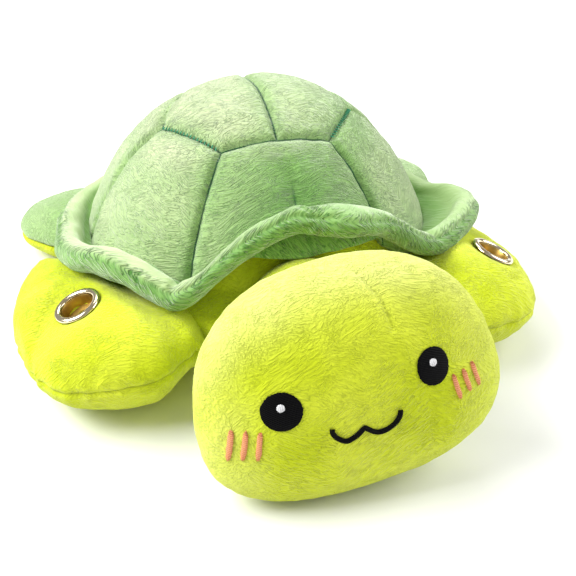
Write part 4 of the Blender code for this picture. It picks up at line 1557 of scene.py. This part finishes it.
    def stitch(self, patch: Patch) -> None:
        """Make one patch of satin stitch, which follows the face; a long one is a bar with round ends.

        Args:
            patch: The patch.
        """
        turn = Matrix.Rotation(radians(patch.slant), 2)
        matrix = self.matrix
        wide, high = patch.half_width, patch.half_length
        long = high / wide
        bm = sphere(112, 16, "Y")
        for vert in bm.verts:
            unit = vert.co.normalized()
            around = Vector((unit.x, unit.z * long, patch.x * 100))
            fray = 1 + self.stitch_fray * wrinkle(around, wide * 11000, 47) / wide
            flat = Vector((wide * unit.x, high * unit.z))
            if long > 3:
                stretch = (1 - unit.x ** 6) ** (1 / 6) if abs(unit.x) < 1 else 0
                flat.y = (high - wide) * signed_power(unit.z, 0.3) * stretch + wide * unit.z
            flat = turn @ (flat * fray)
            lift = patch.lift - self.stitch_height * unit.y
            vert.co = matrix @ self.face_point(patch.x + flat.x, patch.z + flat.y, lift)
        Piece(patch.name + "_stitch", "head", patch.finish, patch.slot, (patch.name,)).make(bm)

    def mouth(self) -> None:
        """Make the mouth: one line of satin stitch that dips twice."""
        curve = bpy.data.curves.new("mouth_stitch", "CURVE")
        curve.dimensions = "3D"
        curve.bevel_depth = self.mouth_radius
        curve.bevel_resolution = 3
        curve.use_fill_caps = True
        spline = curve.splines.new("POLY")
        points = curve_through([Vector(place) for place in self.mouth_line], 5)
        spline.points.add(len(points) - 1)
        for slot, place in zip(spline.points, points):
            at = self.face_point(place.x, place.y, self.mouth_radius * self.mouth_sink)
            slot.co = (*(self.matrix @ at), 1)
        mouth = Piece("mouth_stitch", "head", BLACK_STITCH, "black_stitch", ("mouth",), levels=0)
        mouth.dress(placed(mouth.name, curve))

    def build(self) -> None:
        """Make the head and its face."""
        self.pillow()
        for side, half_width, bars in zip(Side, self.eye_half_widths, (self.cheek_bars[:3], self.cheek_bars[3:])):
            word, eye_x = side.word, side.value * self.eye_x
            self.stitch(Patch("eye_" + word, eye_x, self.eye_z, half_width, self.eye_half_height, self.eye_lift,
                              BLACK_STITCH, "black_stitch"))
            self.stitch(Patch("eye_glint_" + word, eye_x, self.glint_z, self.glint_radius, self.glint_radius,
                              self.glint_lift, WHITE_STITCH, "white_stitch"))
            for index, (x, z, half_length, slant) in enumerate(bars):
                self.stitch(Patch(f"cheek_mark_{word}_{index + 1}", x, z, self.cheek_half_width, half_length,
                                  self.cheek_lift, BLUSH_STITCH, "blush_stitch", slant))
        self.mouth()


@dataclass
class Limb:
    """A padded limb on a round root: its frame in the world, and its form in that frame.

    Along the limb the width and the thickness grow from the root's to their own over a share of its reach. Past
    lobe_start, the rear lobe gets thinner by the drop's share, within lobe_slope.
    """

    x: float
    y: float
    z: float
    turn: float
    droop: float
    twist: float
    reach: float
    root_width: float
    root_radius: float
    front_width: float
    rear_width: float
    thickness: float
    spread_share: float
    rise_share: float
    bluntness: float
    lobe_drop_share: float = 0
    lobe_start: float = 0
    lobe_slope: float = 1
    pucker: float = 0.0022
    pucker_scale: tuple[float, float, float] = (150, 150, 35)
    pucker_reach: float = 0.011
    seam_groove: Dips = ((0.0018, 0.0018),)
    seam_thread: Dips = ((0.7, 0.0011),)
    billow: float = 0.0012
    crumple: float = 0.0004
    segments: int = 96
    rings: int = 64

    def matrix(self, sign: int) -> Matrix:
        """The limb's frame, or its mirror image on the left.

        Args:
            sign: Which side it is on, 1 for right.

        Returns:
            From the limb's frame to the world.
        """
        x, turn, twist = (self.x, self.turn, self.twist) if sign > 0 else (-self.x, 180 - self.turn, -self.twist)
        frame_at = Matrix.Translation((x, self.y, self.z)) @ Matrix.Rotation(radians(turn), 4, "Z")
        return frame_at @ Matrix.Rotation(radians(self.droop), 4, "Y") @ Matrix.Rotation(radians(twist), 4, "X")

    def point(self, unit: Vector, rear: int) -> Vector:
        """A point of the limb's form: a round root, and a paddle that swells and tapers past it.

        Args:
            unit: The unit sphere's point.
            rear: Which way along y the rear lobe lies.

        Returns:
            The point in the limb's frame.
        """
        if unit.x <= 0:
            return Vector((self.root_radius * unit.x, self.root_width * unit.y, self.root_radius * unit.z))
        side = Vector((unit.y, unit.z)).normalized() if abs(unit.x) < 1 else Vector((0, 0))
        spread = smooth_step(unit.x / self.spread_share)
        rise = smooth_step(unit.x / self.rise_share)
        full_width = self.rear_width if side.x * rear > 0 else self.front_width
        width = self.root_width + (full_width - self.root_width) * spread
        thickness = self.root_radius + (self.thickness - self.root_radius) * rise
        close = max(0.0, 1 - unit.x ** self.bluntness) ** (1 / self.bluntness)
        across = width * close * side.x
        drop = self.lobe_drop_share * rise * smooth_step((across * rear - self.lobe_start) / self.lobe_slope)
        return Vector((self.reach * unit.x, across, thickness * close * side.y * (1 - drop)))

    def top(self, out: float, back: float, rear: int) -> Vector:
        """A point of the limb's top.

        Args:
            out: Its distance out from the root.
            back: Its distance back from the middle.
            rear: Which way along y the rear lobe lies.

        Returns:
            The point in the limb's frame.
        """
        share = out / self.reach
        close = sqrt(1 - share ** 2)
        sideways = back / (self.rear_width if back > 0 else self.front_width) / close
        return self.point(Vector((share, close * sideways * rear, close * sqrt(1 - sideways ** 2))), rear)

    def form(self, sign: int, shape: Optional[Callable[[Vector], Vector]] = None) -> bmesh.types.BMesh:
        """The limb's quads in the world, drawn in at the seam round its edge.

        Args:
            sign: Which side it is on, 1 for right.
            shape: A further move of a point in the limb's frame.

        Returns:
            The bmesh.
        """
        matrix = self.matrix(sign)
        bm = sphere(self.segments, self.rings, "X")
        layer = number_layer(bm)
        loose = ((self.billow, 32, 59 + sign), (self.crumple, 85, 61))
        for vert in bm.verts:
            unit = vert.co.normalized()
            place = self.point(unit, sign)
            out = Vector((place.x / self.reach ** 2, place.y / self.rear_width ** 2,
                          place.z / self.thickness ** 2)).normalized()
            near = abs(place.z) if unit.x > -0.2 else 1.0
            step = wrinkled(place, loose) - dips(near, self.seam_groove)
            step += self.pucker * lengthen(place, self.pucker_scale, 53 + sign) * exp(-near / self.pucker_reach)
            place = place + out * step
            world = matrix @ (shape(place) if shape else place)
            world.z = max(0.0, world.z)
            vert.co, vert[layer] = world, dips(near, self.seam_thread)
        return bm


@dataclass
class Eyelet:
    """A rolled ring through a flipper's top, a barrel inside it whose darker metal is painted shade in the bore, and
    the washer that holds it from inside.
    """

    bore: float = 0.0102
    wall: float = 0.0008
    flange: float = 0.0145
    rise: float = 0.0016
    sink: float = 0.0008
    depth: float = 0.0082
    clearance: float = 0.0003
    barrel_hole: float = 0.45
    washer_radius: float = 0.0132
    washer_sink: float = 0.0058
    washer_thickness: float = 0.0008
    roll_steps: int = 12
    steps: int = 72

    def ring(self) -> list[tuple[float, float]]:
        """The rolled ring's closed outline.

        Returns:
            Its (radius, height) pairs.
        """
        bore, wall, flange, under = self.bore, self.wall, self.flange, -self.sink
        roll, middle = (flange - bore) / 2, (flange + bore) / 2
        outline = [(bore, -self.depth), (bore, -self.depth / 2), (bore, under)]
        for index in range(1, self.roll_steps):
            turn = pi - pi * index / self.roll_steps
            outline.append((middle + roll * cos(turn), under + self.rise * sin(turn)))
        return outline + [(flange, under), (flange - wall, under - wall / 2), (bore + wall * 1.5, under - wall / 2),
                          (bore + wall, under - wall * 1.5), (bore + wall, -self.depth)]

    def barrel(self) -> list[tuple[float, float]]:
        """The barrel's outline: a sleeve with a floor that has a hole in its middle.

        Returns:
            Its (radius, height) pairs.
        """
        wall, under = self.wall, -self.sink
        inside, low = self.bore - self.clearance, -self.depth - self.clearance
        hole = inside * self.barrel_hole
        return [(inside, under), (inside, low), (hole, low), (hole, low + wall / 2),
                (inside - wall / 2, low + wall), (inside - wall / 2, under - wall)]

    def washer(self) -> list[tuple[float, float]]:
        """The washer's closed outline.

        Returns:
            Its (radius, height) pairs.
        """
        inner, outer, high = self.bore + self.wall + self.clearance, self.washer_radius, -self.washer_sink
        low = high - self.washer_thickness
        edge = self.washer_thickness / 4
        return [(inner, low), (inner, high), (outer - edge, high), (outer, high - edge), (outer, low + edge),
                (outer - edge, low)]

    def spun(self, outline: Sequence[tuple[float, float]], seat: Matrix) -> bmesh.types.BMesh:
        """Spin a closed outline into a ring.

        Args:
            outline: Its (radius, height) pairs.
            seat: The ring's place in the world, its axis along local Z.

        Returns:
            The bmesh.
        """
        bm = bmesh.new()
        verts = [bm.verts.new((radius, 0, height)) for radius, height in outline]
        edges = [bm.edges.new((verts[i], verts[(i + 1) % len(verts)])) for i in range(len(verts))]
        bmesh.ops.spin(bm, geom=verts + edges, cent=(0, 0, 0), axis=(0, 0, 1), angle=2 * pi,
                       steps=self.steps, use_merge=True)
        bmesh.ops.transform(bm, matrix=seat, verts=bm.verts)
        return bm

    def build(self, side: Side, body: str, seat: Matrix) -> None:
        """Make the ring, the barrel and the washer.

        Args:
            side: Which side they are on.
            body: The body that they ride on.
            seat: Their place in the world.
        """
        word = side.word
        # The barrel is a darker sleeve set inside the ring's bore: painted shade.
        parts = ((Piece("eyelet_ring_" + word, body, EYELET_METAL, "eyelet_metal", ("eyelet_" + word,), levels=0),
                  self.ring(), 50),
                 (Piece("eyelet_barrel_" + word, body, BORE_SHADE_METAL, "eyelet_metal", levels=0), self.barrel(), 50),
                 (Piece("washer_ring_" + word, body, WASHER_METAL, "washer_metal", ("eyelet_washer_" + word,),
                        levels=0), self.washer(), 40))
        for piece, outline, crease in parts:
            piece.make(self.spun(outline, seat), crease)


@dataclass
class FrontFlipper:
    """A wide padded flipper whose rear lobe lies lower, with an eyelet in its top.

    The left one has a ridge: a slanting line through its foot, behind which the top stands higher. The ridge's rise
    and groove are given by the distance past that line, and its root, fade and lift by the distance out and up. How
    far out the eyelets sit is given for the left one and the right one.
    """

    limb: Limb
    eyelet: Eyelet
    back: float = 0.010
    eyelet_out: tuple[float, float] = (0.040, 0.047)
    ridge_foot: tuple[float, float] = (0.0223, 0.037)
    ridge_across: tuple[float, float] = (0.57, 0.82)
    ridge_height: float = 0.010
    ridge_rise: Span = (-0.004, 0.026)
    ridge_early: float = 0.018
    ridge_root: Span = (0.026, 0.012)
    ridge_groove: float = 0.006
    groove: Dips = ((0.0026, 0.005),)
    groove_fade: Span = (0.030, 0.045)
    ridge_lift: Span = (0, 0.012)
    well_edge: float = 0.0032
    ring_depth: float = 0.0012
    ring_width: float = 0.004
    fill: float = 0.85

    def seat(self, sign: int, out: float) -> Matrix:
        """The eyelet's place in the limb's frame, with local Z square to the plush.

        Args:
            sign: Which side it is on, 1 for right.
            out: How far out from the root the eyelet sits.

        Returns:
            From the eyelet's frame to the limb's.
        """
        radius, back, top = self.eyelet.bore, self.back, self.limb.top
        along = top(out + radius, back, sign) - top(out - radius, back, sign)
        across = top(out, back + radius, sign) - top(out, back - radius, sign)
        normal = along.cross(across) * sign
        return Matrix.Translation(top(out, back, sign)) @ normal.to_track_quat("Z", "Y").to_matrix().to_4x4()

    def ridged(self, place: Vector, sign: int) -> Vector:
        """Raise the top behind the ridge's line, earlier near the root, with a groove that fades in away from it.

        Args:
            place: A point of the top in the limb's frame.
            sign: Which side it is on, 1 for right.

        Returns:
            The moved point.
        """
        past = Vector(self.ridge_across).dot(Vector((place.x, place.y * sign)) - Vector(self.ridge_foot))
        early = self.ridge_early * ramp(place.x, *self.ridge_root)
        rise = self.ridge_height * ramp(past + early, *self.ridge_rise)
        rise -= dips(past - self.ridge_groove, self.groove) * ramp(place.x, *self.groove_fade)
        return place + Vector((0, 0, rise * ramp(place.z, *self.ridge_lift)))

    def pierced(self, local: Vector) -> Vector:
        """Draw the plush in under the eyelet's flange and down through its bore.

        Args:
            local: A point in the eyelet's frame.

        Returns:
            The moved point.
        """
        eyelet = self.eyelet
        off = hypot(local.x, local.y)
        well = 1 - smooth_step((off - eyelet.bore) / self.well_edge)
        ring = self.ring_depth * dip(off - eyelet.flange, self.ring_width)
        level = min(local.z, 0.0) if off < eyelet.flange else local.z
        local.z = level * (1 - well) + (-eyelet.depth - 0.0006) * well - ring * (1 - well)
        if off < eyelet.flange and well < 1:
            local.z = min(local.z, -eyelet.sink - 0.0004)
        return local

    def build(self, side: Side) -> None:
        """Make one flipper with its eyelet.

        Args:
            side: Which side it is on.
        """
        sign, body = side.value, "front_flipper_" + side.word
        seat = self.seat(sign, self.eyelet_out[0 if side is Side.LEFT else 1])
        down = seat.inverted()

        def shape(place: Vector) -> Vector:
            """Add the left one's ridge and the eyelet's hole to the limb's form.

            Args:
                place: A point in the limb's frame.

            Returns:
                The moved point.
            """
            if side is Side.LEFT and place.z > 0:
                place = self.ridged(place, sign)
            local = down @ place
            if local.z < -0.02 or hypot(local.x, local.y) > 0.03:
                return place
            return seat @ self.pierced(local)
        nodes = tuple(f"{body}_{part}" for part in ("top", "bottom", "stuffing"))
        bm = self.limb.form(sign, shape)
        Piece(body + "_plush", body, LIME_PLUSH, "lime_plush", nodes, self.fill).make(bm)
        self.eyelet.build(side, body, self.limb.matrix(sign) @ seat)


@dataclass
class RearFlipper:
    """A short flipper with a green top and a lime underside."""

    limb: Limb
    turned_share: float = 0.94
    fill: float = 0.8

    def half(self, side: Side, part: str, finish: Plush, slot: str) -> None:
        """Make the top or the bottom: its half of the form, cut at the edge seam and turned in there.

        Args:
            side: Which side it is on.
            part: "top" or "bottom".
            finish: Its plush.
            slot: Its slot.
        """
        body, up = "rear_flipper_" + side.word, 1 if part == "top" else -1
        matrix = self.limb.matrix(side.value)
        lift = matrix.inverted()
        bm = self.limb.form(side.value)
        normal = (matrix.to_3x3() @ Vector((0, 0, 1))) * up
        bmesh.ops.bisect_plane(bm, geom=bm.verts[:] + bm.edges[:] + bm.faces[:], dist=0.00001,
                               plane_co=matrix.translation, plane_no=normal, clear_inner=True)
        for vert in turned_in(bm):
            local = lift @ vert.co
            vert.co = matrix @ Vector((local.x * self.turned_share, local.y * self.turned_share, local.z))
        nodes = (f"{body}_{part}",) + ((body + "_stuffing",) if up > 0 else ())
        Piece(f"{body}_{part}_plush", body, finish, slot, nodes, self.fill).make(bm)

    def build(self, side: Side) -> None:
        """Make one rear flipper: top and bottom are two plushes joined at the edge seam."""
        self.half(side, "top", FIN_PLUSH, "shell_plush")
        self.half(side, "bottom", LIME_PLUSH, "lime_plush")


@dataclass
class Tail:
    """The small pointed tail."""

    limb: Limb
    fill: float = 0.8

    def build(self) -> None:
        """Make the tail."""
        nodes = ("tail_top", "tail_bottom", "tail_stuffing")
        Piece("tail_plush", "tail", LIME_PLUSH, "lime_plush", nodes, self.fill).make(self.limb.form(1))


@dataclass(frozen=True)
class Lamp:
    """A square soft light: where it stands, its side in metres and its power in watts."""

    name: str
    place: tuple[float, float, float]
    size: float
    power: float

    def light(self, target: Vector) -> None:
        """Place it so that it faces a point.

        Args:
            target: The point.
        """
        data = bpy.data.lights.new(self.name, "AREA")
        data.size = self.size
        data.energy = self.power
        away = Vector(self.place) - target
        turn = away.to_track_quat("Z", "Y").to_matrix().to_4x4()
        placed(self.name, data).matrix_world = Matrix.Translation(self.place) @ turn


@dataclass
class Studio:
    """A pale floor, soft light and the camera at the photograph's angle."""

    azimuth: float = -16.12
    elevation: float = 33.07
    roll: float = 1.19
    distance: float = 0.55549
    target: tuple[float, float, float] = (0.0, -0.06, 0.06)
    focal_pixels: float = 875.71
    centre_x: float = 280.38
    centre_y: float = 246.59
    pixels: float = 576.0
    sensor: float = 36.0
    nearest: float = 0.01
    sky: Colour = (1, 1, 1, 1)
    sky_strength: float = 0.36
    floor_half: float = 6
    floor_z: float = -0.0003
    lamps: tuple[Lamp, ...] = (Lamp("left light", (-1.1, 0.15, 1.1), 1.0, 34),
                               Lamp("right light", (1.25, -0.15, 0.85), 1.0, 17),
                               Lamp("back light", (0.1, 1.2, 1.2), 0.9, 10))

    def camera(self) -> None:
        """Make the camera and hand it to the scene."""
        az, el = radians(self.azimuth), radians(self.elevation)
        back = Vector((sin(az) * cos(el), -cos(az) * cos(el), sin(el)))
        right = Vector((cos(az), sin(az), 0))
        up = back.cross(right)
        roll = radians(self.roll)
        right, up = right * cos(roll) + up * sin(roll), up * cos(roll) - right * sin(roll)
        turn = Matrix((right, up, back)).transposed().to_4x4()
        data = bpy.data.cameras.new("camera")
        data.sensor_width = self.sensor
        data.lens = self.sensor * self.focal_pixels / self.pixels
        data.shift_x = (self.pixels / 2 - self.centre_x) / self.pixels
        data.shift_y = (self.centre_y - self.pixels / 2) / self.pixels
        data.clip_start = self.nearest
        camera = placed("camera", data)
        camera.matrix_world = Matrix.Translation(Vector(self.target) + back * self.distance) @ turn
        bpy.context.scene.camera = camera

    def floor(self) -> None:
        bm = bmesh.new()
        bmesh.ops.create_grid(bm, x_segments=2, y_segments=2, size=self.floor_half)
        floor = placed("floor", mesh_of(bm, "floor"))
        floor.location = (0, 0, self.floor_z)
        floor.data.materials.append(StudioFloor().material())

    def build(self) -> None:
        """Make the floor, the lights and the camera."""
        scene = bpy.context.scene
        scene.view_settings.view_transform = "Standard"
        self.floor()
        world = bpy.data.worlds.new("studio")
        world.use_nodes = True
        background = world.node_tree.nodes["Background"]
        background.inputs["Color"].default_value = self.sky
        background.inputs["Strength"].default_value = self.sky_strength
        scene.world = world
        for lamp in self.lamps:
            lamp.light(Vector(self.target))
        self.camera()


FRONT_LIMB = Limb(x=0.0858, y=-0.083, z=0.0305, turn=-22.3, droop=3, twist=-9, reach=0.077, root_width=0.047,
                  root_radius=0.022, front_width=0.056, rear_width=0.112, thickness=0.035, spread_share=0.36,
                  rise_share=0.35, bluntness=2.0, lobe_drop_share=0.12, lobe_start=0.026, lobe_slope=0.026,
                  segments=160, rings=110)
HIND_LIMB = Limb(x=0.0908, y=0.0527, z=0.0195, turn=24.6, droop=2, twist=0, reach=0.075, root_width=0.026,
                 root_radius=0.0155, front_width=0.037, rear_width=0.046, thickness=0.0235, spread_share=0.4,
                 rise_share=0.6, bluntness=2.3, pucker=0.0012, segments=80, rings=56)
TAIL_LIMB = Limb(x=0, y=0.0995, z=0.03, turn=90, droop=12, twist=0, reach=0.036, root_width=0.015,
                 root_radius=0.012, front_width=0.015, rear_width=0.015, thickness=0.012, spread_share=1.0,
                 rise_share=1.0, bluntness=1.4, pucker=0.0008, segments=48, rings=36)


def main() -> None:
    """Build the turtle, piece by piece, and its studio."""
    logging.basicConfig(level=logging.INFO, format="%(message)s")
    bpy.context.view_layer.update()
    Studio().build()
    shell = Shell()
    shell.build()
    Rim(shell).build()
    RimUnderfold().build()
    Trunk(shell).build()
    Neck().build()
    Head().build()
    for flipper in (FrontFlipper(FRONT_LIMB, Eyelet()), RearFlipper(HIND_LIMB)):
        for side in Side:
            flipper.build(side)
    Tail(TAIL_LIMB).build()


if __name__ == "__main__":
    main()
